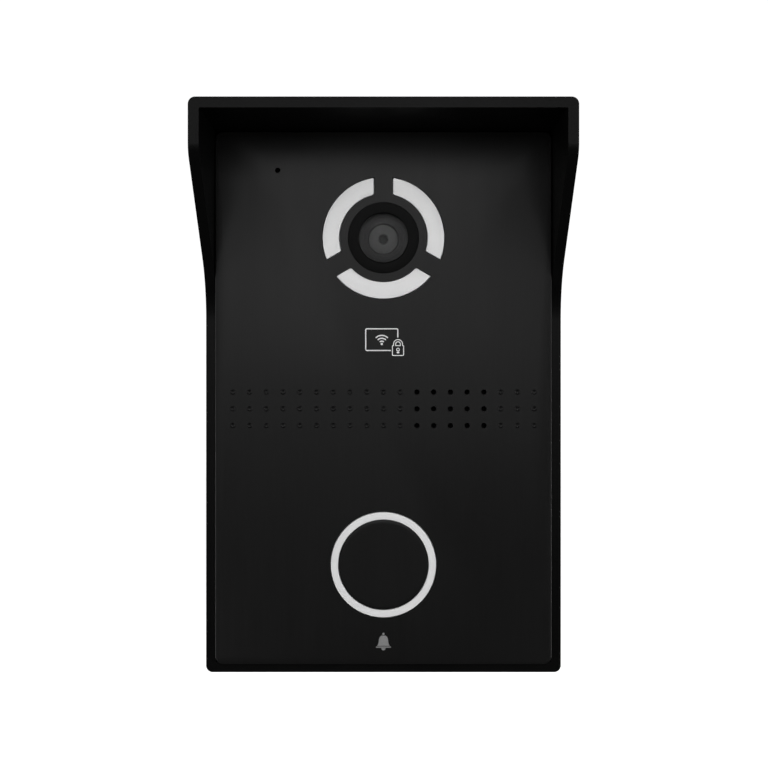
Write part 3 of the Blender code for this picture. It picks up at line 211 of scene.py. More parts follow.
def turned(profile, at=(0, 0), sides=AROUND):
    """A profile of (radius, depth) points turned about the line through (x, z) along Y.
    It starts and ends on the axis, or else is a closed loop."""
    shape = bmesh.new()
    verts = [shape.verts.new((radius, -depth, 0)) for radius, depth in profile]
    edges = [shape.edges.new(pair) for pair in zip(verts, verts[1:])]
    if profile[0][0] > 1e-9:
        edges.append(shape.edges.new((verts[-1], verts[0])))
    bmesh.ops.spin(shape, geom=verts + edges, cent=(0, 0, 0), axis=(0, 1, 0),
                   angle=math.tau, steps=sides, use_merge=True)
    bmesh.ops.remove_doubles(shape, verts=shape.verts, dist=1e-8)
    bmesh.ops.recalc_face_normals(shape, faces=shape.faces)
    bmesh.ops.translate(shape, verts=shape.verts, vec=(at[0], 0, at[1]))
    return shape


def new_object(name, *shapes):
    """An object whose mesh is all the shapes together. The shapes are used up."""
    whole = bmesh.new()
    for shape in shapes:
        part = bpy.data.meshes.new("part")
        shape.to_mesh(part)
        shape.free()
        whole.from_mesh(part)
        bpy.data.meshes.remove(part)
    mesh = bpy.data.meshes.new(name)
    whole.to_mesh(mesh)
    whole.free()
    obj = bpy.data.objects.new(name, mesh)
    bpy.context.scene.collection.objects.link(obj)
    return obj


def applied(obj):
    """Puts the result of obj's modifiers into its own mesh."""
    depsgraph = bpy.context.evaluated_depsgraph_get()
    mesh = bpy.data.meshes.new_from_object(obj.evaluated_get(depsgraph), depsgraph=depsgraph)
    obj.modifiers.clear()
    old = obj.data
    obj.data = mesh
    bpy.data.meshes.remove(old)
    return obj


def cut(obj, operation, *shapes):
    """Joins shapes to obj, or cuts them from it, at once."""
    helper = new_object("helper", *shapes)
    modifier = obj.modifiers.new("cut", "BOOLEAN")
    modifier.operation = operation
    modifier.solver = "EXACT"
    modifier.object = helper
    applied(obj)
    mesh = helper.data
    bpy.data.objects.remove(helper)
    bpy.data.meshes.remove(mesh)
    return obj


def soft_edges(obj, size, segments=2, angle=35):
    """Rounds every edge sharper than angle, and keeps the flats flat."""
    bevel = obj.modifiers.new("bevel", "BEVEL")
    bevel.width = size
    bevel.segments = segments
    bevel.limit_method = "ANGLE"
    bevel.angle_limit = math.radians(angle)
    bevel.miter_outer = "MITER_ARC"
    return applied(obj)


def weighted_normals(obj):
    modifier = obj.modifiers.new("normals", "WEIGHTED_NORMAL")
    modifier.keep_sharp = True
    return obj


def finished(obj, material, body, slot, *nodes):
    """Shades a new piece, gives it its material and body, and hides the CAD nodes it stands for."""
    obj.data.shade_smooth()
    obj.data.set_sharp_from_angle(angle=SHARP_TURN)
    obj.data.materials.clear()
    obj.data.materials.append(material)
    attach(obj, body)
    if nodes:
        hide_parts(*nodes)
    return obj


# ---- Materials -----------------------------------------------------------------------------------

def new_material(name, colour, roughness, metallic=0.0, specular=0.5):
    material = bpy.data.materials.new(name)
    material.use_nodes = True
    shader = material.node_tree.nodes["Principled BSDF"]
    shader.inputs["Base Color"].default_value = (*colour, 1.0)
    shader.inputs["Roughness"].default_value = roughness
    shader.inputs["Metallic"].default_value = metallic
    shader.inputs["Specular IOR Level"].default_value = specular
    return material, shader


def place_node(tree, stretch=(1, 1, 1)):
    """Object coordinates, which are metres in the CAD frame, scaled along each axis."""
    coordinates = tree.nodes.new("ShaderNodeTexCoord")
    mapping = tree.nodes.new("ShaderNodeMapping")
    mapping.inputs["Scale"].default_value = stretch
    tree.links.new(coordinates.outputs["Object"], mapping.inputs["Vector"])
    return mapping.outputs["Vector"]


def noise(tree, vector, scale, detail=3.0, roughness=0.5):
    node = tree.nodes.new("ShaderNodeTexNoise")
    node.inputs["Scale"].default_value = scale
    node.inputs["Detail"].default_value = detail
    node.inputs["Roughness"].default_value = roughness
    tree.links.new(vector, node.inputs["Vector"])
    return node.outputs["Fac"]


def spread(tree, value, low, high, start=0.3, end=0.7):
    """Maps a noise value to the range low to high."""
    node = tree.nodes.new("ShaderNodeMapRange")
    node.inputs["From Min"].default_value = start
    node.inputs["From Max"].default_value = end
    node.inputs["To Min"].default_value = low
    node.inputs["To Max"].default_value = high
    tree.links.new(value, node.inputs["Value"])
    return node.outputs["Result"]


def tinted(tree, factor, dark, light):
    node = tree.nodes.new("ShaderNodeMix")
    node.data_type = "RGBA"
    node.inputs["A"].default_value = (*dark, 1.0)
    node.inputs["B"].default_value = (*light, 1.0)
    tree.links.new(factor, node.inputs["Factor"])
    return node.outputs["Result"]


def bumped(tree, shader, value, distance):
    node = tree.nodes.new("ShaderNodeBump")
    node.inputs["Distance"].default_value = distance
    node.inputs["Strength"].default_value = 1.0
    tree.links.new(value, node.inputs["Height"])
    tree.links.new(node.outputs["Normal"], shader.inputs["Normal"])


def grained(name, dark, light, roughness, grain, bump, metallic=0.0, specular=0.5):
    """A material whose colour, roughness and relief vary with one fine noise and one broad one."""
    material, shader = new_material(name, dark, sum(roughness) / 2, metallic, specular)
    tree = material.node_tree
    place = place_node(tree)
    fine = noise(tree, place, 1 / grain)
    broad = noise(tree, place, 1 / (40 * grain), 2.0)
    mixed = tree.nodes.new("ShaderNodeMath")
    mixed.operation = "MULTIPLY_ADD"
    mixed.inputs[1].default_value = 0.5
    tree.links.new(fine, mixed.inputs[0])
    halved = spread(tree, broad, 0.0, 0.5, 0.0, 1.0)
    tree.links.new(halved, mixed.inputs[2])
    value = mixed.outputs["Value"]
    tree.links.new(tinted(tree, spread(tree, value, 0, 1), dark, light), shader.inputs["Base Color"])
    tree.links.new(spread(tree, value, *roughness), shader.inputs["Roughness"])
    bumped(tree, shader, fine, bump)
    return material


def powder_coat():
    """Black paint with the fine orange-peel grain of baked powder."""
    return grained("powder_coat", (0.0008, 0.0008, 0.0008), (0.0012, 0.0012, 0.0012), (0.37, 0.43),
                   0.55 * MM, 0.003 * MM, specular=0.088)


def brushed_plate(name="brushed_black"):
    """Black anodised metal, brushed from top to bottom."""
    material, shader = new_material(name, (0.006, 0.006, 0.006), 0.36, 0.0, 0.15)
    tree = material.node_tree
    lines = noise(tree, place_node(tree, (1, 1, 0.018)), 1 / (0.35 * MM), 4.0, 0.6)
    broad = noise(tree, place_node(tree, (1, 1, 0.05)), 1 / (4 * MM), 2.0)
    colour = tinted(tree, spread(tree, lines, 0, 1), (0.0050, 0.0050, 0.0050), (0.0066, 0.0066, 0.0066))
    tree.links.new(colour, shader.inputs["Base Color"])
    both = tree.nodes.new("ShaderNodeMath")
    both.operation = "MULTIPLY_ADD"
    both.inputs[1].default_value = 0.6
    tree.links.new(lines, both.inputs[0])
    tree.links.new(spread(tree, broad, 0.0, 0.4, 0.0, 1.0), both.inputs[2])
    tree.links.new(spread(tree, both.outputs["Value"], 0.33, 0.39), shader.inputs["Roughness"])
    bumped(tree, shader, lines, 0.002 * MM)
    return material


def milky():
    """White light-guide plastic, a little translucent."""
    material = grained("milky_plastic", (0.79, 0.79, 0.79), (0.83, 0.83, 0.83), (0.38, 0.46),
                       0.6 * MM, 0.002 * MM)
    shader = material.node_tree.nodes["Principled BSDF"]
    shader.inputs["Subsurface Weight"].default_value = 0.3
    shader.inputs["Subsurface Radius"].default_value = (1.0, 1.0, 1.0)
    shader.inputs["Subsurface Scale"].default_value = 0.5 * MM
    return material


def plastic(name, colour, roughness=(0.45, 0.55), grain=0.3 * MM, specular=0.4):
    dark = tuple(0.85 * c for c in colour)
    light = tuple(1.15 * c for c in colour)
    return grained(name, dark, light, roughness, grain, 0.006 * MM, specular=specular)


def metal(name, colour, roughness=(0.25, 0.4), grain=0.2 * MM):
    dark = tuple(0.9 * c for c in colour)
    return grained(name, dark, colour, roughness, grain, 0.003 * MM, metallic=1.0)


def clear_glass(name, colour, alpha):
    """Clear polished glass: a thin tinted surface that keeps its reflection."""
    material, shader = new_material(name, colour, 0.03, specular=0.1)
    shader.inputs["Alpha"].default_value = alpha
    tree = material.node_tree
    haze = noise(tree, place_node(tree), 1 / (3 * MM), 2.0)
    tree.links.new(spread(tree, haze, 0.02, 0.05), shader.inputs["Roughness"])
    return material


# ---- The housing ---------------------------------------------------------------------------------

def fillet(corner, before, after, radius, steps):
    """Points of a round between two straight runs that meet at a corner, in (depth, z)."""
    corner, before, after = Vector(corner), Vector(before), Vector(after)
    towards = (before - corner).normalized(), (after - corner).normalized()
    half = towards[0].angle(towards[1]) / 2
    middle = corner + (towards[0] + towards[1]).normalized() * radius / math.sin(half)
    starts = [corner + side * radius / math.tan(half) - middle for side in towards]
    turn = starts[0].angle_signed(starts[1])
    return [tuple(middle + Matrix.Rotation(-turn * i / steps, 2) @ starts[0]) for i in range(steps + 1)]


def side_prism(points, wide):
    """An outline in (depth, z), extruded to a width along X."""
    shape = prism(points, wide / 2, -wide / 2)
    shape.transform(Matrix.Rotation(math.radians(-90), 4, "Z"))
    return shape


def upright(shape, depth, x, z):
    """Turns a shape made along Y so that its depth runs up Z instead, and puts it in place."""
    shape.transform(Matrix.Rotation(math.radians(-90), 4, "X"))
    bmesh.ops.translate(shape, verts=shape.verts, vec=(x, -depth, z))
    return shape


def build_housing(coat):
    top, bottom = HOUSING_H / 2, -HOUSING_H / 2
    lip, foot = (HOOD_FRONT, top - HOOD_LIP), (RIM_FRONT, top - HOOD_LIP - (HOOD_FRONT - RIM_FRONT))
    outline = [(0, top), (HOOD_FRONT, top),
               *fillet(lip, (HOOD_FRONT, top), foot, HOOD_LIP_FILLET, 16),
               *fillet(foot, lip, (RIM_FRONT, bottom), HOOD_FOOT_FILLET, 24),
               (RIM_FRONT, bottom), (0, bottom)]
    obj = new_object("housing_shell", side_prism(outline, HOUSING_W))
    reach = HOOD_FRONT + HOUSING_WALL
    cut(obj, "INTERSECT", slab(HOUSING_W, HOUSING_H, reach, -HOUSING_WALL, HOUSING_CORNER))
    cut(obj, "DIFFERENCE", slab(OPENING_W, OPENING_H, reach, LEDGE_FRONT, 0.3 * MM, steps=2))
    cut(obj, "DIFFERENCE", slab(OPENING_W, OPENING_H, LEDGE_BACK, BACK_PLATE, 0.3 * MM, steps=2))
    cut(obj, "DIFFERENCE", slab(OPENING_W - 2 * LEDGE_IN_X, OPENING_H - 2 * LEDGE_IN_Z,
                                LEDGE_FRONT + MM, LEDGE_BACK - MM, 3 * MM))
    through = (2 * BACK_PLATE, -BACK_PLATE)
    openings = [slab(CABLE_W, CABLE_H, *through, 4 * MM, (0, CABLE_Z))]
    for side in (-1, 1):
        for z in (top - SLOT_DOWN, bottom + SLOT_UP):
            openings.append(slab(SLOT_W, SLOT_LENGTH, *through, SLOT_W / 2 - 0.001 * MM, (side * SLOT_X, z)))
        screw_x = centre("lock_screw_left" if side < 0 else "lock_screw_right")[0]
        sink = [(0, -MM), (LOCK_SINK_R + 0.96 * MM, -MM), (LOCK_SINK_R, 0), (LOCK_HOLE_R, 2.2 * MM),
                (LOCK_HOLE_R, 6 * MM), (0, 6 * MM)]
        openings.append(upright(turned(sink, sides=48), LOCK_DEPTH, screw_x, bottom))
    cut(obj, "DIFFERENCE", *openings)
    pad = [(0, BACK_PLATE + TAMPER_PAD), (TAMPER_PAD_R, BACK_PLATE + TAMPER_PAD),
           (TAMPER_PAD_R, BACK_PLATE / 2), (0, BACK_PLATE / 2)]
    cut(obj, "UNION", turned(pad, centre("tamper_plunger"), 40))
    soft_edges(obj, EDGE, 2, 40)
    finished(obj, coat, "station", "housing_black", "hood_housing")
    return weighted_normals(obj)


# ---- The front plate -----------------------------------------------------------------------------

def window_outline(grow, middle):
    """One curved light window in (x, z) round the camera, whose ends run parallel to the bridges."""
    half_gap, steps = LIGHT_GAP / 2 - grow, 26

    def arc(radius):
        reach = math.pi / LIGHT_WINDOWS - math.asin(half_gap / radius)
        angles = [middle + reach * (2 * i / steps - 1) for i in (0, *range(2, steps - 1), steps)]
        return [(CAMERA[0] + radius * math.cos(a), CAMERA[1] + radius * math.sin(a)) for a in angles]

    outer, inner = arc(LIGHT_OUTER_R + grow), arc(LIGHT_INNER_R - grow)[::-1]
    return softened(outer + inner, [0.35 * MM] * len(outer) + [0.7 * MM] * len(inner), steps=5)


def window_middles():
    return [math.tau * (i / LIGHT_WINDOWS) - math.pi / 2 for i in range(LIGHT_WINDOWS)]


def grille_places():
    """(x, z, bored) of every hole and dimple."""
    middle = round(SPEAKER[0] / GRILLE_PITCH)
    for column in range(-GRILLE_COLUMNS, GRILLE_COLUMNS + 1):
        for row in range(GRILLE_ROWS):
            z = SPEAKER[1] + (row - (GRILLE_ROWS - 1) / 2) * GRILLE_PITCH
            yield column * GRILLE_PITCH, z, abs(column - middle) <= OPEN_COLUMNS


def dimple(x, z):
    """A shallow blind hole with a rounded floor."""
    bowl = [(0, 0.42), (0.4, 0.40), (0.62, 0.32), (0.74, 0.18), (0.8, 0)]
    profile = [(r * MM, PLATE_FRONT - deep * MM) for r, deep in bowl]
    return turned([*profile, (GRILLE_R, PLATE_FRONT + MM), (0, PLATE_FRONT + MM)], (x, z), 20)


def bore(radius, front, back, at, sides):
    """A straight round cutter."""
    return turned([(0, front), (radius, front), (radius, back), (0, back)], at, sides)


def build_plate(metal_face):
    outline = rounded_outline(PLATE_W, PLATE_H, PLATE_CORNER, 10)
    shape = front_rounded(prism(outline, PLATE_FRONT, PLATE_BACK), PLATE_FRONT, 0.25 * MM, 3)
    obj = new_object("faceplate", shape)
    past, behind = PLATE_FRONT + MM, FACE_BACK - MM
    cut(obj, "DIFFERENCE", slab(POCKET_W, POCKET_H, FACE_BACK, PLATE_BACK - MM, 2 * MM))
    bezel_r, window_r = width("window_bezel") / 2 + 0.06 * MM, width("camera_window") / 2 + 0.3 * MM
    seat, _ = depths("camera_window")
    stepped = [(0, past), (bezel_r, past), (bezel_r, seat), (window_r, seat), (window_r, behind), (0, behind)]
    cutters = [turned(stepped, CAMERA),
               bore(RING_OUTER_R + SEAM, past, behind, BUTTON, 128),
               bore(MICROPHONE_HOLE_R, past, behind, MICROPHONE, 32)]
    cutters += [prism(window_outline(SEAM, middle), past, behind) for middle in window_middles()]
    for x, z, bored in grille_places():
        cutters.append(bore(GRILLE_R, past, behind, (x, z), 24) if bored else dimple(x, z))
    cut(obj, "DIFFERENCE", *cutters)
    return finished(obj, metal_face, "station", "plate_black", "front_plate")


# ---- Camera and lights ---------------------------------------------------------------------------

def build_diffuser(white):
    front, back = depths("light_diffuser")
    windows = [prism(window_outline(0, middle), front, back + MM) for middle in window_middles()]
    inner, outer = LIGHT_INNER_R - MM, LIGHT_OUTER_R + MM
    flange = back + 1.5 * MM
    ring = [(inner, flange), (outer, flange), (outer, back), (inner, back)]
    obj = new_object("light_guide", turned(ring, CAMERA))
    cut(obj, "UNION", *[front_rounded(shape, front, 0.12 * MM, 2) for shape in windows])
    return finished(obj, white, "station", "diffuser_white", "light_diffuser")


def build_window(bezel_black, glass):
    """The ring in the plate, and the clear pane that it holds."""
    front, back = depths("window_bezel")
    outer, inner = width("window_bezel") / 2, BEZEL_INNER_R
    ring = [(inner, back), (outer, back), (outer, front),
            (inner + 0.3 * MM, front), (inner, front - 0.25 * MM)]
    obj = new_object("camera_bezel", turned(softened(ring, 0.06 * MM), CAMERA, 128))
    finished(obj, bezel_black, "station", "bezel_black", "window_bezel")

    front, back = depths("camera_window")
    r = width("camera_window") / 2
    rim = softened([(0, front), (r, front), (r, back), (0, back)], 0.15 * MM, False)[1:-1]
    pane = turned([(0, front), *rim, (0, back)], CAMERA)
    obj = new_object("window_glass", pane)
    finished(obj, glass, "station", "glass_dark", "camera_window")


def build_lens(barrel_black, coating, pupil_painted_shade, glass):
    """The board lens: its ringed barrel, front glass, iris, and a dark disc in the iris's hole, painted shade
    for the dark inside of the lens.
    """
    front, back = depths("lens_barrel")
    head = width("lens_barrel") / 2
    head_back = front - LENS_HEAD
    face = [(LENS_BORE_R, front - 0.35 * MM)]
    rings = 3
    for ring in range(rings):
        start = LENS_BORE_R + 0.25 * MM + ring * 0.85 * MM
        face += [(start, front - 0.04 * MM), (start + 0.62 * MM, front - 0.04 * MM),
                 (start + 0.68 * MM, front - 0.12 * MM), (start + 0.80 * MM, front - 0.12 * MM)]
    body = [*face, (head - 0.2 * MM, front), (head, front - 0.2 * MM), (head, head_back),
            (LENS_THREAD_R, head_back), (LENS_THREAD_R, back), (LENS_BORE_R, back)]
    obj = new_object("lens_housing", turned(body, CAMERA))
    finished(obj, barrel_black, "station", "lens_black", "lens_barrel")

    front, back = depths("lens_front_element")
    r = width("lens_front_element") / 2
    rim, steps = front - LENS_RISE, 12
    angles = [math.pi / 2 * i / steps for i in range(steps + 1)]
    dome = [(r * math.sin(a), rim + LENS_RISE * math.cos(a)) for a in angles]
    bulb = turned([*dome, (r, rim - 0.2 * MM), (0, rim - 0.2 * MM)], CAMERA)
    obj = new_object("lens_glass", bulb)
    finished(obj, glass, "station", "glass_dark", "lens_front_element")

    iris_front, hole = rim - 0.3 * MM, IRIS_HOLE_R
    iris = [(hole, iris_front - 0.25 * MM), (hole + 0.25 * MM, iris_front), (r, iris_front), (r, back),
            (hole, back)]
    obj = new_object("lens_iris", turned(iris, CAMERA))
    finished(obj, coating, "station", "lens_black")
    # The disc that fills the iris's hole is painted shade: its dark colour stands in for the shaded inside of
    # the lens.
    edge = hole - 0.05 * MM
    pupil = [(0, iris_front - 0.25 * MM), (edge, iris_front - 0.4 * MM), (edge, back), (0, back)]
    obj = new_object("lens_pupil_shade", turned(pupil, CAMERA, 48))
    finished(obj, pupil_painted_shade, "station", "glass_dark")


# ---- Call button ---------------------------------------------------------------------------------

def build_button(cap_face, white):
    front, back = depths("button_light_ring")
    flange = width("button_light_ring") / 2
    behind = FACE_BACK - 0.3 * MM
    ring = [(RING_INNER_R, front), (RING_OUTER_R, front), (RING_OUTER_R, behind), (flange, behind),
            (flange, back), (RING_INNER_R, back)]
    obj = new_object("button_halo", turned(softened(ring, 0.08 * MM), BUTTON, 128))
    finished(obj, white, "station", "diffuser_white", "button_light_ring")

    front, back = depths("button_cap")
    flange = width("button_cap") / 2
    stop, flange_back = 48.6 * MM, 47.4 * MM
    floor, stem, inside = front - 2.5 * MM, 2.0 * MM, CAP_R - 1.7 * MM
    dish_r, dish_depth, steps = 0.92 * CAP_R, 0.06 * MM, 8
    dish = [(dish_r * i / steps, front - dish_depth * (1 - (i / steps) ** 2)) for i in range(steps + 1)]
    rim = [(CAP_R - 0.12 * MM, front), (CAP_R - 0.03 * MM, front - 0.03 * MM), (CAP_R, front - 0.12 * MM)]
    cap = [*dish, *rim, (CAP_R, stop), (flange, stop), (flange, flange_back), (inside, flange_back),
           (inside, floor), (stem, floor), (stem, back), (0, back)]
    obj = new_object("call_button", turned(cap, BUTTON, 128))
    finished(obj, cap_face, "button", "cap_black", "button_cap")


def build_spring(steel):
    """The coil spring under the cap, with closed ends. The mesh keeps one length; it is not made to shorten
    as the cap goes in.
    """
    front, back = depths("button_spring")
    wire, turns, steps, sides = 0.35 * MM, 5, 36, 8
    radius = width("button_spring") / 2 - wire
    low, high, end_rise = back + wire, front - wire, 2.1 * wire
    shape = bmesh.new()
    rings = []
    for i in range(turns * steps + 1):
        turn = i / steps
        depth = low + min(turn, 1) * end_rise + max(turn - turns + 1, 0) * end_rise
        depth += (high - low - 2 * end_rise) * min(max(turn - 1, 0) / (turns - 2), 1)
        out = Vector((math.cos(math.tau * turn), 0, math.sin(math.tau * turn)))
        middle = Vector((BUTTON[0], -depth, BUTTON[1])) + out * radius
        rings.append([shape.verts.new(middle + wire * (out * math.cos(math.tau * j / sides)
                                                       + Vector((0, math.sin(math.tau * j / sides), 0))))
                      for j in range(sides)])
    for one, other in zip(rings, rings[1:]):
        for j in range(sides):
            shape.faces.new((one[j], one[(j + 1) % sides], other[(j + 1) % sides], other[j]))
    shape.faces.new(rings[0])
    shape.faces.new(rings[-1][::-1])
    bmesh.ops.recalc_face_normals(shape, faces=shape.faces)
    obj = new_object("cap_spring", shape)
    finished(obj, steel, "station", "steel", "button_spring")
    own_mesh(obj)


# ---- Printed signs -------------------------------------------------------------------------------

def ribbon(points, wide, closed):
    """A printed line of even width along points in (x, z), as one flat strip standing on the plate."""
    points = [Vector(p) for p in points]
    count = len(points)
    sides = ([], [])
    for i, p in enumerate(points):
        ahead = points[(i + 1) % count] - p if closed or i < count - 1 else p - points[i - 1]
        behind = p - points[i - 1] if closed or i > 0 else ahead
        along = (ahead.normalized() + behind.normalized()).normalized()
        across = Vector((-along.y, along.x))
        stretch = 1 / max(0.5, across.dot(Vector((-ahead.y, ahead.x)).normalized()))
        for side, sign in zip(sides, (1, -1)):
            side.append(p + across * sign * wide / 2 * stretch)
    shape = bmesh.new()
    rows = [[shape.verts.new((p.x, -PRINT_BACK, p.y)) for p in side] for side in sides]
    last = count if closed else count - 1
    faces = [shape.faces.new((rows[0][i], rows[0][(i + 1) % count], rows[1][(i + 1) % count], rows[1][i]))
             for i in range(last)]
    return raised(shape, faces)


def raised(shape, faces):
    """Gives flat faces the thickness of the print, towards the front."""
    made = bmesh.ops.extrude_face_region(shape, geom=faces)
    moved = [item for item in made["geom"] if isinstance(item, bmesh.types.BMVert)]
    bmesh.ops.translate(shape, verts=moved, vec=(0, PRINT_BACK - PRINT_FRONT, 0))
    bmesh.ops.recalc_face_normals(shape, faces=shape.faces)
    return shape


def patch(points):
    """A printed filled outline."""
    return prism(points, PRINT_FRONT, PRINT_BACK)


def arc_points(middle, radius, start, end, steps=16):
    return [(middle[0] + radius * math.cos(math.radians(start + (end - start) * i / steps)),
             middle[1] + radius * math.sin(math.radians(start + (end - start) * i / steps)))
            for i in range(steps + 1)]


def build_card_sign(ink):
    """A plain card with radio waves and a padlock, the usual sign for a contactless card reader."""
    line = 0.32 * MM
    left, right, low, top = -5.3 * MM, 4.29 * MM, 14.18 * MM, 20.66 * MM
    lock_x, base, shoulder = 4.35 * MM, 12.69 * MM, 15.64 * MM
    half_body, half_bow, half_hole, bow = 1.68 * MM, 1.34 * MM, 0.7 * MM, 16.1 * MM
    outline = [(right, bow + half_bow + 0.6 * MM), (right, top), (left, top), (left, low),
               (lock_x - half_body - 0.45 * MM, low)]
    shapes = [ribbon(softened(outline, 0.45 * MM, False, 6), line, False)]
    waves = ((left + right) / 2, 16.13 * MM)
    shapes += [ribbon(arc_points(waves, r * MM, 45, 135), 0.36 * MM, False) for r in (0.84, 1.7, 2.56)]
    shapes.append(patch(circle(0.36 * MM, waves)))
    thin = 0.24 * MM
    body = [(lock_x - half_bow, shoulder), (lock_x - half_body, shoulder), (lock_x - half_body, base),
            (lock_x + half_body, base), (lock_x + half_body, shoulder), (lock_x + half_bow, shoulder)]
    arch = arc_points((lock_x, bow), half_bow, 0, 180, 20)
    shapes.append(ribbon([*softened(body, 0.3 * MM, False, 4), *arch], thin, True))
    hole = [(lock_x - half_hole, shoulder), (lock_x + half_hole, shoulder),
            *arc_points((lock_x, bow), half_hole, 0, 180, 16)]
    shapes.append(ribbon(hole, thin, True))
    key = (lock_x, 14.44 * MM)
    shapes.append(ribbon(circle(0.42 * MM, key), thin, True))
    shapes.append(patch(rounded_outline(0.8 * MM, 0.5 * MM, 0.2 * MM, 4, (lock_x, key[1] - 0.86 * MM))))
    obj = new_object("card_sign", *shapes)
    finished(obj, ink, "station", "diffuser_white")


def build_bell_sign(ink):
    """A plain bell under the button."""
    x, z = BUTTON[0], -72.6 * MM
    flare = [(1.95, -1.45), (1.62, -1.0), (1.42, -0.3), (1.36, 0.5), (1.1, 1.2), (0.6, 1.62)]
    half = [(x + a * MM, z + b * MM) for a, b in flare]
    bell = half + [(2 * x - a, b) for a, b in reversed(half)]
    clapper = arc_points((x, z - 2.15 * MM), 0.62 * MM, 180, 360, 10)
    shapes = [patch(softened(bell, 0.25 * MM, steps=3)),
              patch(rounded_outline(4.5 * MM, 0.36 * MM, 0.17 * MM, 4, (x, z - 1.82 * MM))),
              patch(circle(0.33 * MM, (x, z + 2.12 * MM), 20)),
              patch(clapper)]
    obj = new_object("bell_sign", *shapes)
    finished(obj, ink, "station", "foam_grey")


# ---- Connectors seen through the back ------------------------------------------------------------

def build_contacts(gold):
    """The eight sprung contacts in the network socket."""
    low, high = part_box("network_jack")
    middle = (low.x + high.x) / 2
    contacts, pitch, wire = 8, 1.02 * MM, 0.32 * MM
    mouth = -low.y - 2.6 * MM
    deep, shallow = low.z + 12.6 * MM, low.z + 4.5 * MM
    line = [(mouth - 0.35 * MM, deep), (mouth - 2.4 * MM, shallow + 1.2 * MM), (mouth - 2.75 * MM, shallow),
            (mouth - 2.4 * MM, shallow - 0.2 * MM), (mouth - 2.0 * MM, shallow + 1.2 * MM),
            (mouth - 0.05 * MM, deep)]
    shapes = []
    for i in range(contacts):
        shape = side_prism(line, wire)
        bmesh.ops.translate(shape, verts=shape.verts, vec=(middle + (i - (contacts - 1) / 2) * pitch, 0, 0))
        shapes.append(shape)
    obj = new_object("socket_contacts", *shapes)
    finished(obj, gold, "station", "copper")


def build_clamp_screws(steel):
    """The slotted screws of the terminal block's eight wire clamps."""
    low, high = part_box("terminal_block")
    back = -high.y
    poles = 8
    head = back + 0.75 * MM
    shapes = []
    for i in range(poles):
        at = ((low.x + high.x) / 2 + (i - (poles - 1) / 2) * (high.x - low.x) / poles, low.z + 6 * MM)
        profile = [(0, head), (0.95 * MM, head), (1.1 * MM, head + 0.15 * MM), (1.1 * MM, back + 1.45 * MM),
                   (0, back + 1.45 * MM)]
        screw = new_object("clamp", turned(profile, at, 24))
        cut(screw, "DIFFERENCE", slab(2.6 * MM, 0.4 * MM, head + 0.4 * MM, head - MM, 0.05 * MM, at, 2))
        shape = bmesh.new()
        shape.from_mesh(screw.data)
        shapes.append(shape)
        mesh = screw.data
        bpy.data.objects.remove(screw)
        bpy.data.meshes.remove(mesh)
    obj = new_object("clamp_screws", *shapes)
    finished(obj, steel, "station", "steel")


def build_jack_tongues(steel):
    """Two sprung tongues stamped in the socket's metal shell, on its side towards the wall."""
    _, back = depths("network_jack")
    x, z = centre("network_jack")
    tongues = [slab(1.8 * MM, 7 * MM, back + 0.1 * MM, back - 0.25 * MM, 0.6 * MM,
                    (x + side * 3.8 * MM, z - 1.5 * MM)) for side in (-1, 1)]
    obj = new_object("jack_tongues", *tongues)
    finished(soft_edges(obj, 0.1 * MM), steel, "station", "steel")


def build_microphone_felt(cloth):
    """The felt disc on the microphone's front, at the end of its sound hole."""
    seat, _ = depths("microphone_capsule")
    felt_r, back = 1.3 * MM, seat + 0.02 * MM
    disc = [(0, seat + 0.16 * MM), (0.9 * MM, seat + 0.16 * MM), (felt_r, seat + 0.12 * MM), (felt_r, back),
            (0, back)]
    obj = new_object("microphone_felt", turned(disc, MICROPHONE, 32))
    finished(obj, cloth, "station", "foam_grey")


# ---- CAD pieces that keep their mesh -------------------------------------------------------------

def dress_nodes():
    """Gives every CAD node that keeps its mesh the finish of its slot."""
    black = plastic("moulded_black", (0.010, 0.010, 0.010))
    rubber = plastic("rubber", (0.008, 0.008, 0.008), (0.7, 0.85), 0.5 * MM, 0.3)
    foam = plastic("acoustic_cloth", (0.006, 0.006, 0.006), (0.85, 0.95), 0.15 * MM, 0.1)
    steel = metal("bright_steel", (0.5, 0.5, 0.51))
    tin = metal("tinned_shell", (0.40, 0.40, 0.41), (0.42, 0.55), 0.5 * MM)
    copper = metal("copper_track", (0.65, 0.32, 0.17))
    board = plastic("solder_mask", (0.015, 0.09, 0.04), (0.3, 0.4), 1.5 * MM, 0.5)
    chip = plastic("chip_epoxy", (0.02, 0.02, 0.021), (0.4, 0.5))
    lamp = plastic("lamp_phosphor", (0.75, 0.72, 0.5), (0.3, 0.4))
    relay = plastic("relay_blue", (0.02, 0.08, 0.32), (0.3, 0.4))
    clamp = plastic("clamp_green", (0.02, 0.20, 0.06), (0.4, 0.5))
    cone = plastic("cone_paper", (0.02, 0.02, 0.02), (0.8, 0.9), 0.2 * MM)
    lead = plastic("lead_red", (0.25, 0.015, 0.015), (0.35, 0.45))
    amber = plastic("ribbon_amber", (0.35, 0.14, 0.03), (0.25, 0.35))
    white = plastic("white_plastic", (0.55, 0.55, 0.53))
    by_slot = {"black_plastic": black, "cap_black": black, "rubber_black": rubber, "foam_grey": foam,
               "steel": steel, "aluminium": tin, "copper": copper, "board_green": board,
               "chip_black": chip, "led_white": lamp, "relay_blue": relay, "terminal_green": clamp,
               "cone_paper": cone, "lead_red": lead, "ribbon_amber": amber, "tamper_white": white}
    for row in frame["record"]["subparts"]:
        material = by_slot.get(row["material_slot"])
        if material:
            mesh = frame["nodes"][row["node"]].data
            mesh.materials.clear()
            mesh.materials.append(material)
    return steel, copper, foam


# ---- Stage ---------------------------------------------------------------------------------------

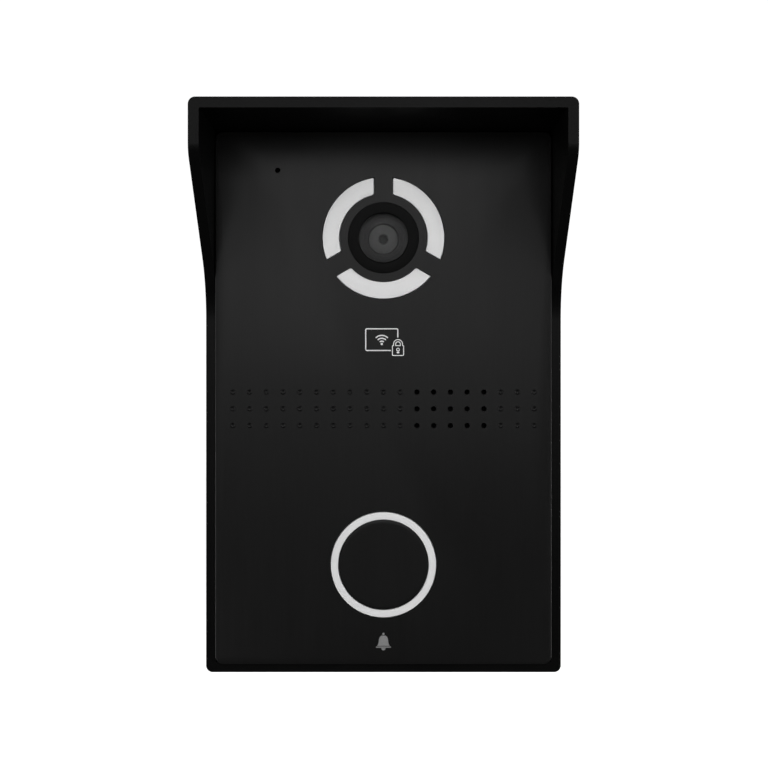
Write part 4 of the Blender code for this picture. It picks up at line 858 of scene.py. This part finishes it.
def add_camera():
    data = bpy.data.cameras.new("camera")
    data.sensor_width = 36.0
    data.lens = 56.1
    data.shift_x = 0.0007
    data.clip_start = 0.01
    obj = bpy.data.objects.new("camera", data)
    obj.location = (0, -0.411, 0.00417)
    obj.rotation_euler = (math.radians(90), 0, 0)
    bpy.context.scene.collection.objects.link(obj)
    bpy.context.scene.camera = obj


def softbox(name, place, size, power):
    """A rectangular light at a place, turned to face the object."""
    data = bpy.data.lights.new(name, "AREA")
    data.shape = "RECTANGLE"
    data.size, data.size_y = size
    data.energy = power
    obj = bpy.data.objects.new(name, data)
    obj.location = place
    obj.rotation_euler = (-Vector(place)).to_track_quat("-Z", "Y").to_euler()
    bpy.context.scene.collection.objects.link(obj)


def add_world():
    world = bpy.data.worlds.new("studio")
    world.use_nodes = True
    background = world.node_tree.nodes["Background"]
    background.inputs["Color"].default_value = (1.0, 1.0, 1.0, 1.0)
    background.inputs["Strength"].default_value = 0.03
    bpy.context.scene.world = world


def white_stage():
    """A pale floor and the pale studio round it. Both are plain white and light nothing."""
    material = bpy.data.materials.new("stage_white")
    material.use_nodes = True
    shader = material.node_tree.nodes["Principled BSDF"]
    shader.inputs["Base Color"].default_value = (0.9, 0.9, 0.9, 1.0)
    shader.inputs["Roughness"].default_value = 0.9
    shader.inputs["Emission Color"].default_value = (1.0, 1.0, 1.0, 1.0)
    shader.inputs["Emission Strength"].default_value = 1.0
    floor_shape = bmesh.new()
    bmesh.ops.create_circle(floor_shape, cap_ends=True, segments=64, radius=5.8)
    bmesh.ops.translate(floor_shape, verts=floor_shape.verts, vec=(0, 0, FLOOR_Z))
    room_shape = bmesh.new()
    bmesh.ops.create_uvsphere(room_shape, u_segments=48, v_segments=24, radius=6.0)
    bmesh.ops.reverse_faces(room_shape, faces=room_shape.faces)
    for name, shape in (("floor", floor_shape), ("studio", room_shape)):
        obj = new_object(name, shape)
        obj.data.shade_smooth()
        obj.data.materials.append(material)
        obj.visible_diffuse = False
        obj.visible_glossy = False
        obj.visible_shadow = False


def main():
    add_camera()
    add_world()
    white_stage()
    softbox("key", (0.0, -1.30, 0.36), (0.8, 0.55), 4.6)
    softbox("low_key", (0.0, -1.30, 0.12), (0.8, 0.2), 0.25)
    softbox("front_left", (-1.2, -0.8, -0.2), (0.9, 1.1), 10.5)
    softbox("front_right", (1.2, -0.8, -0.2), (0.9, 1.1), 10.5)
    softbox("bounce", (0, -0.35, -0.9), (1.2, 0.8), 0.4)
    softbox("left", (-1.3, -0.1, 0.3), (0.5, 1.0), 4)
    softbox("right", (1.3, -0.1, 0.3), (0.5, 1.0), 4)
    softbox("rear_key", (0, 1.30, 0.0), (0.4, 0.5), 9)
    softbox("rear_left", (-0.9, 1.1, -0.35), (0.8, 0.8), 12)
    softbox("rear_right", (0.9, 1.1, -0.35), (0.8, 0.8), 12)
    softbox("top", (0, 0.3, 1.4), (0.9, 0.9), 4)
    bpy.context.scene.view_settings.view_transform = "Standard"

    steel, copper, cloth = dress_nodes()
    white = milky()
    glass = clear_glass("optical_glass", (0.01, 0.01, 0.012), 0.12)
    build_housing(powder_coat())
    build_plate(brushed_plate())
    build_diffuser(white)
    build_window(plastic("bezel_black", (0.003, 0.003, 0.003), (0.38, 0.44), specular=0.04), glass)
    # The pupil's dark material is painted shade for the inside of the lens, seen through the iris's hole.
    build_lens(plastic("barrel_black", (0.067, 0.067, 0.067), (0.5, 0.6), specular=0.04),
               plastic("iris_grey", (0.225, 0.225, 0.225), (0.4, 0.5), specular=0.04),
               plastic("pupil_painted_shade", (0.031, 0.031, 0.031), (0.3, 0.35), specular=0.04), glass)
    build_button(brushed_plate("brushed_cap"), white)
    build_spring(steel)
    build_card_sign(plastic("white_ink", (0.80, 0.80, 0.80), (0.45, 0.55)))
    build_bell_sign(plastic("grey_ink", (0.22, 0.22, 0.22), (0.45, 0.55)))
    build_contacts(copper)
    build_clamp_screws(steel)
    build_jack_tongues(steel)
    build_microphone_felt(cloth)


main()
